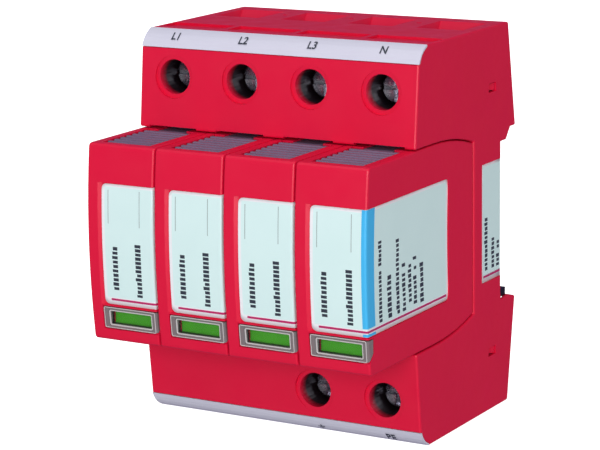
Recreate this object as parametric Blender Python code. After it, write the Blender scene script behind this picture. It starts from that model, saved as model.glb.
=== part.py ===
"""Four-pole plug-in surge arrester for a 35 mm top-hat rail.

Frame: +X to the right, +Y towards the rail, +Z up. The origin is on the rail seat, half-way up and
half-way across. Lengths are in metres.
"""

import math

import bmesh
import bpy

# Poles and overall size
POLES = 4
PITCH = 0.0178
BLOCK_HEIGHT = 0.0225
SHOULDER_DEPTH = 0.0425
FACE_LEAN = 0.0018
STRIP_SETBACK = 0.0041
STRIP_RISE = 0.0040
STRIP_BULGE = 0.00067
STRIP_THICKNESS = 0.0005
STRIP_GAP = 0.00015
REAR_TOP_DEPTH = 0.0039
REAR_FOOT_DEPTH = 0.0078
REAR_FOOT_RISE = 0.0027
SHELF_DROP = 0.0020
SHELF_FRONT_DEPTH = 0.0003
SHELF_REAR_DEPTH = 0.0047
SHELF_TILT = 0.0002

# Rail seat
RAIL_HEIGHT = 0.0350
RAIL_PLAY = 0.0002
RAIL_LIP = 0.0010
RAIL_LIP_PLAY = 0.0005
HOOK_BITE = 0.0026
HOOK_THICKNESS = 0.0030
HOOK_RAMP = 0.0010
HOOK_LENGTH = 0.0150
HOOK_SPACING = 0.0235

# Clearances
GAP = 0.0003
OVERCUT = 0.0020
EDGE_ROUND = 0.0004

# Plug-in module
MODULE_HEIGHT = 0.0450
MODULE_FRONT_DEPTH = 0.0634
MODULE_BULGE = 0.0013
MODULE_CORNER = 0.0012
MODULE_SIDE_GAP = 0.0003
MODULE_WALL = 0.0013
MODULE_FRONT_WALL = 0.0024
BAY_DEPTH = 0.0140
REAR_DROP = 0.0028
REAR_DROP_START = 0.0340
REAR_DROP_POWER = 2.2

# Label field and window of a module
LABEL_LEFT = 0.0051
LABEL_MARGIN = 0.0005
LABEL_REAR = 0.0266
LABEL_CORNER = 0.0012
LABEL_RECESS = 0.0004
LABEL_SLOPE = 0.0009
SIDE_LABEL_DEPTH = 0.0100
SIDE_LABEL_MARGIN = 0.0038
WINDOW_LEFT = 0.0056
WINDOW_FOOT = 0.0030
WINDOW_HEIGHT = 0.0051
WINDOW_WRAP = 0.0016
WINDOW_CHAMFER = 0.0018
LENS_THICKNESS = 0.0011
LENS_FRAME = 0.0007
LENS_DISH = 0.0003
SIGHT_LEFT = 0.0050
SIGHT_RIGHT = 0.0066
SIGHT_MARGIN = 0.0007
FLAG_THICKNESS = 0.0010
FLAG_TRAVEL = 0.0050
FLAG_STEM_WIDTH = 0.0040
FLAG_STEM_HEIGHT = 0.0100
FLAG_LAP = 0.00025
FLAG_BACKING = 0.0010
FLAG_BACKING_RISE = 0.0046
FLAG_GUIDE = 0.0008

# Release latch
PAD_HALF_WIDTH = 0.0060
PAD_SETBACK = 0.0025
PAD_SINK = 0.0005
PAD_THICKNESS = 0.0018
RIB_HEIGHT = 0.0004
RIB_PITCH = 0.0024
RIB_WIDTH = 0.0014
LATCH_REAR_DEPTH = 0.0355
LATCH_ARM_HALF_WIDTH = 0.0035
LATCH_ARM_THICKNESS = 0.0014
LATCH_NOSE_LENGTH = 0.0022
LATCH_NOSE_RISE = 0.0005
LATCH_PIN_RADIUS = 0.0008
LATCH_PIN_LENGTH = 0.0009
LATCH_PIN_SETBACK = 0.0014
LATCH_POCKET_DEPTH = 0.0044
LATCH_FLOOR = 0.0010

# Module inner parts
PLUG_BASE_THICKNESS = 0.0020
PLUG_BASE_RIB = 0.0030
BLADE_HALF_WIDTH = 0.0042
BLADE_THICKNESS = 0.0012
BLADE_INSET = 0.0046
BLADE_REACH = 0.0078
TONGUE_LENGTH = 0.0130
TONGUE_LIFT = 0.0022
TONGUE_HALF_WIDTH = 0.0025
DISC_SETBACK = 0.0090
DISC_REAR_DEPTH = 0.0250
DISC_HALF_WIDTH = 0.0055
DISC_CORNER = 0.0025

# Terminals
TERMINAL_RAISE = 0.00095
SCREW_HOLE_RADIUS = 0.0040
SCREW_RING_RADIUS = 0.0050
SCREW_RING_SINK = 0.0005
SCREW_HEAD_DEPTH = 0.0079
SCREW_HEAD_RADIUS = 0.0036
SCREW_HEAD_HEIGHT = 0.0032
SCREW_SHANK_RADIUS = 0.0030
SCREW_NECK = 0.0012
SCREW_SLOT_WIDTH = 0.0010
SCREW_SLOT_DEPTH = 0.0013
SCREW_CROSS_HALF = 0.0029
SCREW_CHAMFER = 0.0005
CHAMBER_HALF_WIDTH = 0.0069
CHAMBER_FLOOR = 0.0023
CHAMBER_ROOF = 0.0028
BAR_THICKNESS = 0.0013
BAR_HALF_WIDTH = 0.0040
BAR_DEPTH = 0.0150
BAR_BEND = 0.0009
CAGE_HALF_WIDTH = 0.0057
CAGE_SIDE_WALL = 0.0012
CAGE_NUT_THICKNESS = 0.0030
CAGE_REAR_WALL = 0.0016
CAGE_HEIGHT = 0.0100
CAGE_CORNER = 0.0008
WIRE_GAP = 0.0085

# Wire funnels, dimples and shallow grips of the end faces
FUNNEL_HALF_WIDTH = 0.0060
FUNNEL_REAR_DEPTH = 0.0010
FUNNEL_PAST = 0.0002
THROAT_HALF_WIDTH = 0.0046
DIMPLE_RADIUS = 0.0007
DIMPLE_DEPTH = 0.0005
DIMPLE_SETBACK = 0.0063
GRIP_HALF_WIDTH = 0.0082
GRIP_FRONT_DEPTH = 0.0335
GRIP_REAR_DEPTH = 0.0275
GRIP_SINK = 0.0006

# Contact forks and bus bars behind the bay floor
BAY_FLOOR_WALL = 0.0016
SPINE_HALF_WIDTH = 0.0062
FORK_WALL = 0.0010
FORK_LENGTH = 0.0076
BAR_REAR_DEPTH = 0.0027
BUS_HEIGHT = 0.0060
BUS_CENTRE = -0.0020

# Rear cover
SIDE_WALL = 0.0020
COVER_THICKNESS = 0.0018
SEAT_RISE = 0.0003
SNAP_INSET = 0.0140
SNAP_FRONT_DEPTH = 0.0065
SNAP_LENGTH = 0.0038
SNAP_WIDTH = 0.0021
SNAP_ARM = 0.0008
SNAP_NOSE = 0.0009
SNAP_ROOT = 0.0006
COVER_GUIDE_HALF_SPAN = 0.0230

# Rail foot and its spring
FOOT_FRONT_DEPTH = 0.0005
FOOT_THICKNESS = 0.0039
FOOT_EAR_HEIGHT = 0.0019
FOOT_EAR_INSET = 0.0010
FOOT_NOSE_HALF_SPAN = 0.0200
FOOT_TRAVEL = 0.0030
FOOT_BOTTOM_LIFT = 0.0036
FOOT_SLOT_WIDTH = 0.0060
FOOT_RIM = 0.0012
FOOT_SLOT_HEIGHT = 0.0020
FOOT_WINDOW_HALF_WIDTH = 0.0035
FOOT_WINDOW_DROP = 0.0063
LUG_HEIGHT = 0.0015
SPRING_RADIUS = 0.0013
SPRING_WIRE = 0.00035
SPRING_TURNS = 6

# Remote signalling connector
SIGNAL_POLES = 3
SIGNAL_PITCH = 0.00381
SIGNAL_FRONT_DEPTH = 0.0300
SIGNAL_THICKNESS = 0.0080
SIGNAL_END = 0.0022
SIGNAL_PLUG_HEIGHT = 0.0120
SIGNAL_PLUG_SINK = 0.0010
SIGNAL_ROOF = 0.0036
SIGNAL_WIRE_RADIUS = 0.0011
SIGNAL_PIN_HALF = 0.0005
SIGNAL_PIN_LENGTH = 0.0045

# Facets
ARC_STEPS = 5
HOLE_SIDES = 28
BOW_STEPS = 10
LABEL_STEPS = 8
SHANK_SIDES = 12
SPRING_STEPS = 8
TURN_STEPS = 3

# Worked out from the sizes above
WIDTH = POLES * PITCH
HALF_WIDTH = WIDTH / 2
HALF_MODULE = MODULE_HEIGHT / 2
HALF_HEIGHT = HALF_MODULE + BLOCK_HEIGHT
STRIP_DEPTH = SHOULDER_DEPTH - FACE_LEAN
TOP_DEPTH = STRIP_DEPTH - STRIP_SETBACK
HALF_BODY = (PITCH - MODULE_SIDE_GAP) / 2
POLE_X = [(index - (POLES - 1) / 2) * PITCH for index in range(POLES)]
SEAT_EDGE = RAIL_HEIGHT / 2 + RAIL_PLAY
REAR_FOOT_HEIGHT = SEAT_EDGE + REAR_FOOT_RISE
BAY_EDGE = HALF_MODULE + GAP
MODULE_REAR = -BAY_DEPTH - GAP
CHAMBER_LOW = BAY_EDGE + CHAMBER_FLOOR
CHAMBER_HIGH = HALF_HEIGHT - CHAMBER_ROOF
TERMINAL_HEIGHT = (CHAMBER_LOW + CHAMBER_HIGH) / 2 + TERMINAL_RAISE
HEAD_FRONT = -SHOULDER_DEPTH + SCREW_HEAD_DEPTH
HEAD_REAR = HEAD_FRONT + SCREW_HEAD_HEIGHT
CHAMBER_FRONT = HEAD_REAR + GAP + SCREW_NECK
BAR_FRONT = -BAR_DEPTH
BAR_REAR = BAR_FRONT + BAR_THICKNESS
CAGE_REAR = BAR_REAR + WIRE_GAP + CAGE_REAR_WALL
CAGE_FRONT = BAR_FRONT - GAP - CAGE_NUT_THICKNESS
INNER_HALF_WIDTH = HALF_WIDTH - SIDE_WALL
PAD_FRONT_DEPTH = MODULE_FRONT_DEPTH - PAD_SETBACK
PAD_REAR_DEPTH = SHOULDER_DEPTH + GAP
RIB_COUNT = int((PAD_FRONT_DEPTH - PAD_REAR_DEPTH) / RIB_PITCH)
LATCH_PIN_Y = -PAD_FRONT_DEPTH + LATCH_PIN_SETBACK
PAD_TOP = HALF_MODULE - PAD_SINK
LATCH_PIN_Z = PAD_TOP - PAD_THICKNESS / 2
POCKET_FLOOR = HALF_MODULE - LATCH_POCKET_DEPTH
CAVITY_TOP = POCKET_FLOOR - LATCH_FLOOR
CAVITY_FRONT = -MODULE_FRONT_DEPTH + MODULE_FRONT_WALL
BLADE_Z = CAVITY_TOP - BLADE_INSET
DISC_FRONT_DEPTH = -CAVITY_FRONT - DISC_SETBACK
WINDOW_TOP = HALF_MODULE - WINDOW_FOOT - WINDOW_HEIGHT
LABEL_HALF_HEIGHT = WINDOW_TOP - LABEL_MARGIN
FOOT_REAR = FOOT_FRONT_DEPTH + FOOT_THICKNESS
LIP_REAR = RAIL_LIP + RAIL_LIP_PLAY
COVER_STEP = REAR_FOOT_HEIGHT + COVER_THICKNESS
SNAP_HEIGHT = HALF_HEIGHT - SNAP_INSET
FOOT_BOTTOM = HALF_HEIGHT - FOOT_BOTTOM_LIFT
FOOT_WINDOW_TOP = SEAT_EDGE + FOOT_WINDOW_DROP
FOOT_WINDOW_LOW = FOOT_BOTTOM - 2 * FOOT_RIM - FOOT_SLOT_HEIGHT
SPRING_LENGTH = FOOT_WINDOW_LOW - FOOT_WINDOW_TOP - LUG_HEIGHT - 3 * GAP
SEAT_HALF_HEIGHT = SEAT_EDGE - HOOK_BITE - 2 * GAP
SIGNAL_TOP = BAY_EDGE + SIGNAL_ROOF
POCKET_START = PAD_TOP - PAD_THICKNESS - GAP
FORK_REACH = BLADE_THICKNESS / 2 + GAP + FORK_WALL
FLAG_FRONT = CAVITY_FRONT + GAP
FLAG_Z = -WINDOW_TOP - WINDOW_HEIGHT / 2
FLAG_HALF_HEIGHT = WINDOW_HEIGHT / 2 - SIGHT_MARGIN + FLAG_LAP
FLAG_TOP = FLAG_Z + FLAG_HALF_HEIGHT

MATERIALS = {
    "red_polyamide": ((0.69, 0.011, 0.060), 0.42, 0.0),
    "dark_red_polyamide": ((0.42, 0.008, 0.035), 0.45, 0.0),
    "grey_polyamide": ((0.150, 0.130, 0.170), 0.50, 0.0),
    "black_polyamide": ((0.012, 0.012, 0.013), 0.45, 0.0),
    "white_strip": ((0.68, 0.70, 0.76), 0.50, 0.0),
    "clear_lens": ((0.86, 0.90, 0.90), 0.08, 0.0),
    "green_flag": ((0.055, 0.36, 0.018), 0.45, 0.0),
    "zinc_plated_steel": ((0.50, 0.50, 0.48), 0.32, 1.0),
    "nickel_plated_copper": ((0.60, 0.52, 0.42), 0.28, 1.0),
    "spring_steel": ((0.45, 0.45, 0.46), 0.25, 1.0),
    "varistor_coating": ((0.020, 0.090, 0.290), 0.55, 0.0),
    "spark_gap_ceramic": ((0.74, 0.72, 0.66), 0.60, 0.0),
}


def clear_scene():
    for old in list(bpy.data.objects):
        bpy.data.objects.remove(old, do_unlink=True)


def material(name):
    """A plain shaded material with the finish of the named stuff."""
    found = bpy.data.materials.get(name)
    if found:
        return found
    colour, roughness, metallic = MATERIALS[name]
    made = bpy.data.materials.new(name)
    made.use_nodes = True
    shader = made.node_tree.nodes["Principled BSDF"]
    shader.inputs["Base Color"].default_value = (*colour, 1.0)
    shader.inputs["Roughness"].default_value = roughness
    shader.inputs["Metallic"].default_value = metallic
    return made


def object_of(name, shape, at=(0.0, 0.0, 0.0)):
    """Turns a bmesh into an object whose origin is at the given place."""
    bmesh.ops.recalc_face_normals(shape, faces=shape.faces)
    mesh = bpy.data.meshes.new(name)
    shape.to_mesh(mesh)
    shape.free()
    made = bpy.data.objects.new(name, mesh)
    made.location = at
    bpy.context.scene.collection.objects.link(made)
    return made


def along(axis, first, second, distance):
    """A point from two plane coordinates and a distance along the axis."""
    if axis == "X":
        return (distance, first, second)
    if axis == "Y":
        return (first, distance, second)
    return (first, second, distance)


def prism(name, outline, low, high, axis="X", at=(0.0, 0.0, 0.0)):
    """Extrudes a closed outline between two planes across the axis."""
    shape = bmesh.new()
    ends = []
    for distance in (low, high):
        points = [shape.verts.new(along(axis, a, b, distance)) for a, b in outline]
        ends.append(points)
        shape.faces.new(points)
    count = len(outline)
    for index in range(count):
        after = (index + 1) % count
        shape.faces.new((ends[0][index], ends[0][after], ends[1][after], ends[1][index]))
    return object_of(name, shape, at)


def block(name, low, high, at=(0.0, 0.0, 0.0)):
    """A box between two corners."""
    outline = rectangle(low[1], low[2], high[1], high[2])
    return prism(name, outline, low[0], high[0], "X", at)


def funnel(name, mouth, throat, mouth_z, throat_z):
    """A four-sided taper between two rectangles of (x, y) at two heights."""
    shape = bmesh.new()
    rings = []
    for outline, height in ((rectangle(*mouth), mouth_z), (rectangle(*throat), throat_z)):
        ring = [shape.verts.new((x, y, height)) for x, y in outline]
        rings.append(ring)
        shape.faces.new(ring)
    count = len(rings[0])
    for index in range(count):
        after = (index + 1) % count
        shape.faces.new((rings[0][index], rings[0][after], rings[1][after], rings[1][index]))
    return object_of(name, shape)


def turned(name, profile, axis="Y", centre=(0.0, 0.0), sides=HOLE_SIDES, at=(0.0, 0.0, 0.0)):
    """Revolves (distance, radius) pairs about a line along the axis through a plane point."""
    shape = bmesh.new()
    rings = []
    for distance, radius in profile:
        ring = []
        for step in range(sides):
            angle = 2 * math.pi * step / sides
            first = centre[0] + radius * math.cos(angle)
            second = centre[1] + radius * math.sin(angle)
            ring.append(shape.verts.new(along(axis, first, second, distance)))
        rings.append(ring)
    shape.faces.new(rings[0])
    shape.faces.new(rings[-1])
    for before, later in zip(rings, rings[1:]):
        for step in range(sides):
            after = (step + 1) % sides
            shape.faces.new((before[step], before[after], later[after], later[step]))
    return object_of(name, shape, at)


def rectangle(a0, b0, a1, b1):
    return [(a0, b0), (a1, b0), (a1, b1), (a0, b1)]


def rounded(outline, radius, steps=3):
    """Replaces each corner of a convex outline by an arc of the given radius."""
    points = []
    count = len(outline)
    for index in range(count):
        corner = outline[index]
        before = outline[index - 1]
        after = outline[(index + 1) % count]
        start = towards(corner, before, radius)
        end = towards(corner, after, radius)
        for step in range(steps + 1):
            points.append(quadratic(start, corner, end, step / steps))
    return points


def towards(point, target, distance):
    length = math.dist(point, target)
    share = distance / length
    return (point[0] + (target[0] - point[0]) * share, point[1] + (target[1] - point[1]) * share)


def quadratic(start, middle, end, share):
    """A point on the curve from start to end that is pulled towards the middle point."""
    rest = 1 - share
    return tuple(
        rest * rest * a + 2 * rest * share * b + share * share * c
        for a, b, c in zip(start, middle, end)
    )


def bowed(start, end, bulge, steps):
    """Points of a shallow arc from start to end that stands out to the left of that way by the bulge."""
    length = math.dist(start, end)
    normal = (-(end[1] - start[1]) / length, (end[0] - start[0]) / length)
    points = []
    for step in range(steps + 1):
        share = step / steps
        rise = 4 * bulge * share * (1 - share)
        points.append(
            tuple(a + (b - a) * share + n * rise for a, b, n in zip(start, end, normal))
        )
    return points


def bent_strip(path, thickness):
    """The outline of a sheet of one thickness that is folded along a path down its middle."""
    left, right = [], []
    for index, point in enumerate(path):
        before = path[max(index - 1, 0)]
        after = path[min(index + 1, len(path) - 1)]
        first = unit(before, point) if index else unit(point, after)
        second = unit(point, after) if index < len(path) - 1 else first
        mitre = (-(first[1] + second[1]), first[0] + second[0])
        size = math.hypot(*mitre)
        turn = (first[0] * second[0] + first[1] * second[1] + 1) / 2
        reach = thickness / 2 / math.sqrt(turn) / size
        left.append((point[0] + mitre[0] * reach, point[1] + mitre[1] * reach))
        right.append((point[0] - mitre[0] * reach, point[1] - mitre[1] * reach))
    return left + right[::-1]


def unit(start, end):
    length = math.dist(start, end)
    return ((end[0] - start[0]) / length, (end[1] - start[1]) / length)


def mirrored(outline, side):
    """The outline as it is, or turned over about the object's middle height."""
    return [(a, side * b) for a, b in outline]


def boolean(target, tool, operation):
    modifier = target.modifiers.new(tool.name, "BOOLEAN")
    modifier.object = tool
    modifier.operation = operation
    modifier.solver = "EXACT"
    tool.hide_render = True
    tool.display_type = "WIRE"


def cut(target, *tools):
    for tool in tools:
        boolean(target, tool, "DIFFERENCE")


def fuse(target, *tools):
    for tool in tools:
        boolean(target, tool, "UNION")


def round_edges(target, width=EDGE_ROUND, segments=2, angle=35.0):
    modifier = target.modifiers.new("edges", "BEVEL")
    modifier.width = width
    modifier.segments = segments
    modifier.limit_method = "ANGLE"
    modifier.angle_limit = math.radians(angle)
    modifier.use_clamp_overlap = True


def shaded(mesh, angle=35.0):
    mesh.shade_smooth()
    mesh.set_sharp_from_angle(angle=math.radians(angle))


def finished(target, name, stuff):
    """Names a piece that keeps its modifiers and gives it its material."""
    target.name = name
    target.data.name = name
    target.data.materials.append(material(stuff))
    shaded(target.data)
    return target


def settled(target):
    """The mesh that the modifiers leave, for a piece of which there are several."""
    bpy.context.view_layer.update()
    graph = bpy.context.evaluated_depsgraph_get()
    mesh = bpy.data.meshes.new_from_object(target.evaluated_get(graph))
    tools = [modifier.object for modifier in target.modifiers if modifier.type == "BOOLEAN"]
    bpy.data.objects.remove(target, do_unlink=True)
    for tool in tools:
        bpy.data.objects.remove(tool, do_unlink=True)
    return mesh


def copy_of(mesh, name, stuff, at):
    """One more piece of the same mesh."""
    if not mesh.materials:
        mesh.materials.append(material(stuff))
        shaded(mesh)
    made = bpy.data.objects.new(name, mesh)
    made.location = at
    bpy.context.scene.collection.objects.link(made)
    return made


def half_height_at(depth):
    """Half of the module's height at a depth in front of the rail seat: its rear corners curve in."""
    span = REAR_DROP_START - BAY_DEPTH
    share = max(0.0, (REAR_DROP_START - depth) / span)
    return HALF_MODULE - REAR_DROP * share**REAR_DROP_POWER


def rear_corner(steps=5):
    """(y, z) points of the module's upper rear corner, from the start of the curve to the rear face."""
    span = REAR_DROP_START - BAY_DEPTH
    points = []
    for step in range(steps + 1):
        depth = REAR_DROP_START - span * step / steps
        points.append((-depth, half_height_at(depth)))
    return points


def strip_arc(inset=0.0):
    """The curved front edge that carries the marks, from its lower to its upper end."""
    low = (-STRIP_DEPTH + inset, HALF_HEIGHT - STRIP_RISE)
    high = (-TOP_DEPTH, HALF_HEIGHT - inset)
    return bowed(low, high, STRIP_BULGE, ARC_STEPS)


def rear_line(z):
    """How far the sloping rear face stands behind the rail seat at a height above the middle."""
    share = (z - REAR_FOOT_HEIGHT) / (HALF_HEIGHT - REAR_FOOT_HEIGHT)
    return REAR_FOOT_DEPTH + (REAR_TOP_DEPTH - REAR_FOOT_DEPTH) * share


def base_outline():
    """Side view of the base: two terminal blocks joined by a thin spine."""
    bay = [(y, z + GAP) for y, z in rear_corner()[::-1]]
    bay[0] = (-BAY_DEPTH, bay[0][1])
    face = bay + [(-SHOULDER_DEPTH, BAY_EDGE)] + strip_arc()
    ramp = REAR_FOOT_HEIGHT - SEAT_EDGE
    upper = face + [
        (REAR_TOP_DEPTH, HALF_HEIGHT),
        (REAR_FOOT_DEPTH, REAR_FOOT_HEIGHT),
        (REAR_FOOT_DEPTH - ramp, REAR_FOOT_HEIGHT),
        (LIP_REAR + ramp / 2, SEAT_EDGE),
        (0.0, SEAT_EDGE),
    ]
    shelf = -SEAT_EDGE - SHELF_DROP
    lower = [
        (0.0, -SEAT_EDGE),
        (SHELF_FRONT_DEPTH, shelf),
        (SHELF_REAR_DEPTH, shelf + SHELF_TILT),
        (REAR_FOOT_DEPTH, -REAR_FOOT_HEIGHT),
        (REAR_TOP_DEPTH, -HALF_HEIGHT),
    ]
    return upper + lower + [(y, -z) for y, z in face[::-1]]


def rear_pocket():
    """Side view of the space behind the chambers that the rear cover closes."""
    inner = -COVER_THICKNESS
    top = CHAMBER_HIGH
    deep = REAR_FOOT_DEPTH + OVERCUT
    return [
        (rear_line(top) - COVER_THICKNESS, top),
        (rear_line(COVER_STEP) - COVER_THICKNESS, COVER_STEP),
        (inner, COVER_STEP),
        (inner, -top),
        (deep, -top),
        (deep, top),
    ]


def build_base():
    base = prism("base_housing", base_outline(), -HALF_WIDTH, HALF_WIDTH)
    round_edges(base)
    cut(base, prism("rear_space", rear_pocket(), -INNER_HALF_WIDTH, INNER_HALF_WIDTH))
    for side in (1, -1):
        rebate = strip_space(side)
        cut(base, rebate)
    for index, x in enumerate(POLE_X):
        for side in (1, -1):
            if side == 1 or index >= POLES - 2:
                cut_terminal(base, x, side, f"{index}_{side}")
            cut_latch_pocket(base, x, side, f"{index}_{side}")
            cut_grip(base, x, side, f"{index}_{side}")
        cut_spine(base, x, index)
    label_high = SEAT_EDGE - SIDE_LABEL_MARGIN
    label_low = (HALF_WIDTH - LABEL_RECESS, -SIDE_LABEL_DEPTH, -label_high)
    cut(base, block("side_label", label_low, (HALF_WIDTH + OVERCUT, OVERCUT, label_high)))
    for edge in range(1, POLES):
        cut_dimple(base, (edge - POLES / 2) * PITCH, edge)
    cut_bus_ways(base)
    cut_signal_well(base)
    cut_snap_windows(base)
    cut_foot_way(base)
    return finished(base, "base_housing", "red_polyamide")


def strip_space(side):
    """The rebate behind a marking strip, open at the front and at both ends."""
    inner = strip_arc(STRIP_THICKNESS + STRIP_GAP)
    outer = [(-SHOULDER_DEPTH - OVERCUT, inner[0][1]), (-SHOULDER_DEPTH - OVERCUT, HALF_HEIGHT + OVERCUT)]
    outline = inner + [(-TOP_DEPTH, HALF_HEIGHT + OVERCUT)] + outer[::-1]
    reach = HALF_WIDTH + OVERCUT
    return prism(f"strip_space_{side}", mirrored(outline, side), -reach, reach)


def cut_terminal(base, x, side, tag):
    """Screw hole, chamber, wire throat and funnel of one terminal."""
    z = side * TERMINAL_HEIGHT
    hole = [(-SHOULDER_DEPTH - OVERCUT, SCREW_HOLE_RADIUS), (HEAD_REAR + GAP, SCREW_HOLE_RADIUS)]
    ring = [(-SHOULDER_DEPTH - OVERCUT, SCREW_RING_RADIUS), (ring_floor(), SCREW_RING_RADIUS)]
    neck = [(HEAD_REAR, SCREW_SHANK_RADIUS + GAP), (CHAMBER_FRONT + OVERCUT, SCREW_SHANK_RADIUS + GAP)]
    chamber = (
        (x - CHAMBER_HALF_WIDTH, CHAMBER_FRONT, min(side * CHAMBER_LOW, side * CHAMBER_HIGH)),
        (x + CHAMBER_HALF_WIDTH, REAR_FOOT_DEPTH, max(side * CHAMBER_LOW, side * CHAMBER_HIGH)),
    )
    throat = (x - THROAT_HALF_WIDTH, BAR_REAR, x + THROAT_HALF_WIDTH, BAR_REAR + WIRE_GAP - GAP)
    mouth = (x - FUNNEL_HALF_WIDTH, BAR_REAR, x + FUNNEL_HALF_WIDTH, -FUNNEL_REAR_DEPTH)
    end = side * HALF_HEIGHT
    roof = side * (CHAMBER_HIGH + GAP)
    past = side * (HALF_HEIGHT + FUNNEL_PAST)
    inside = side * (CHAMBER_HIGH - OVERCUT)
    cut(
        base,
        turned(f"screw_hole_{tag}", hole, centre=(x, z)),
        turned(f"screw_ring_{tag}", ring, centre=(x, z)),
        turned(f"screw_neck_{tag}", neck, centre=(x, z), sides=SHANK_SIDES),
        block(f"chamber_{tag}", *chamber),
        funnel(f"throat_{tag}", throat, throat, end, inside),
        funnel(f"funnel_{tag}", mouth, throat, past, roof),
    )


def ring_floor():
    """Depth of the shallow ring round a screw hole, set from the sloping front face."""
    share = (TERMINAL_HEIGHT - BAY_EDGE) / (HALF_HEIGHT - STRIP_RISE - BAY_EDGE)
    face = -SHOULDER_DEPTH + (SHOULDER_DEPTH - STRIP_DEPTH) * share
    return face + SCREW_RING_SINK


def cut_latch_pocket(base, x, side, tag):
    """The relief under a block that the latch's arm and nose stand in."""
    reach = LATCH_REAR_DEPTH - GAP
    low = BAY_EDGE - OVERCUT
    high = BAY_EDGE + LATCH_NOSE_RISE
    outline = rectangle(-SHOULDER_DEPTH - OVERCUT, low, -reach, high)
    half = PAD_HALF_WIDTH + GAP
    cut(base, prism(f"latch_relief_{tag}", mirrored(outline, side), x - half, x + half))


def cut_grip(base, x, side, tag):
    """A shallow sunk field near the front edge of an end face."""
    outline = rectangle(-GRIP_FRONT_DEPTH, HALF_HEIGHT - GRIP_SINK, -GRIP_REAR_DEPTH, HALF_HEIGHT + OVERCUT)
    cut(base, prism(f"grip_{tag}", mirrored(outline, side), x - GRIP_HALF_WIDTH, x + GRIP_HALF_WIDTH))


def cut_dimple(base, x, tag):
    profile = [(HALF_HEIGHT - DIMPLE_DEPTH, DIMPLE_RADIUS), (HALF_HEIGHT + OVERCUT, DIMPLE_RADIUS)]
    cut(base, turned(f"dimple_{tag}", profile, "Z", (x, -DIMPLE_SETBACK), SHANK_SIDES))


def cut_spine(base, x, index):
    """Space for a pole's contacts behind the bay floor, with the two slots that the blades enter."""
    front = -BAY_DEPTH + BAY_FLOOR_WALL
    low = -CHAMBER_LOW - GAP if index >= POLES - 2 else -BLADE_Z - FORK_REACH - GAP
    high = CHAMBER_LOW + GAP
    space = block(
        f"spine_{index}",
        (x - SPINE_HALF_WIDTH, front, low),
        (x + SPINE_HALF_WIDTH, OVERCUT, high),
    )
    cut(base, space)
    half = BLADE_HALF_WIDTH + 2 * GAP
    for side in (1, -1):
        middle = side * BLADE_Z
        reach = BLADE_THICKNESS / 2 + 2 * GAP
        slot = block(
            f"blade_slot_{index}_{side}",
            (x - half, -BAY_DEPTH - OVERCUT, middle - reach),
            (x + half, front + OVERCUT, middle + reach),
        )
        cut(base, slot)


def cut_bus_ways(base):
    """Ways through the walls between poles for the neutral and the earth bar."""
    front = -BAR_REAR_DEPTH - BAR_THICKNESS - GAP
    half = BUS_HEIGHT / 2 + GAP
    neutral = block(
        "neutral_way",
        (POLE_X[0], front, BUS_CENTRE - half),
        (POLE_X[-1], OVERCUT, BUS_CENTRE + half),
    )
    high = -CHAMBER_LOW
    earth = block(
        "earth_way",
        (POLE_X[-2], BAR_REAR - BAR_THICKNESS - GAP, high - BAR_THICKNESS - 2 * GAP),
        (POLE_X[-1], OVERCUT, high),
    )
    cut(base, neutral, earth)


def signal_half_width():
    return SIGNAL_POLES * SIGNAL_PITCH / 2 + SIGNAL_END


def signal_x():
    return (POLE_X[0] + POLE_X[1]) / 2


def cut_signal_well(base):
    """The well in the lower end face that holds the signalling connector."""
    half = signal_half_width() + GAP
    x = signal_x()
    front = -SIGNAL_FRONT_DEPTH - GAP
    rear = -SIGNAL_FRONT_DEPTH + SIGNAL_THICKNESS + GAP
    cut(base, block("signal_well", (x - half, front, -HALF_HEIGHT - OVERCUT), (x + half, rear, -SIGNAL_TOP)))


def cut_snap_windows(base):
    """Small windows in both side walls, with a relief inside for the arms of the rear cover."""
    for end in (1, -1):
        for side in (1, -1):
            x0, x1 = sorted((side * (INNER_HALF_WIDTH + SNAP_ARM), side * (HALF_WIDTH + OVERCUT)))
            z0 = end * SNAP_HEIGHT - SNAP_WIDTH / 2
            window = block(
                f"snap_window_{end}_{side}",
                (x0, -SNAP_FRONT_DEPTH, z0),
                (x1, -SNAP_FRONT_DEPTH + SNAP_LENGTH, z0 + SNAP_WIDTH),
            )
            a0, a1 = sorted((side * (INNER_HALF_WIDTH - OVERCUT), side * (INNER_HALF_WIDTH + SNAP_ARM + GAP)))
            relief = block(
                f"snap_relief_{end}_{side}",
                (a0, -SNAP_FRONT_DEPTH - GAP, z0 - GAP),
                (a1, REAR_FOOT_DEPTH + OVERCUT, z0 + SNAP_WIDTH + GAP),
            )
            cut(base, window, relief)


def cut_foot_way(base):
    """Room in the side walls for the ears of the rail foot and their travel."""
    low = -SEAT_EDGE - FOOT_EAR_HEIGHT - FOOT_TRAVEL - 2 * GAP
    for side in (1, -1):
        x0, x1 = sorted((side * (INNER_HALF_WIDTH - OVERCUT), side * (HALF_WIDTH - FOOT_EAR_INSET + GAP)))
        way = block(
            f"foot_way_{side}",
            (x0, FOOT_FRONT_DEPTH - GAP, low),
            (x1, FOOT_REAR + GAP, -SEAT_EDGE + OVERCUT),
        )
        cut(base, way)
    bottom = block(
        "foot_exit",
        (-COVER_GUIDE_HALF_SPAN, 0.0, -HALF_HEIGHT - OVERCUT),
        (COVER_GUIDE_HALF_SPAN, REAR_FOOT_DEPTH + OVERCUT, -CHAMBER_HIGH + OVERCUT),
    )
    cut(base, bottom)


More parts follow.
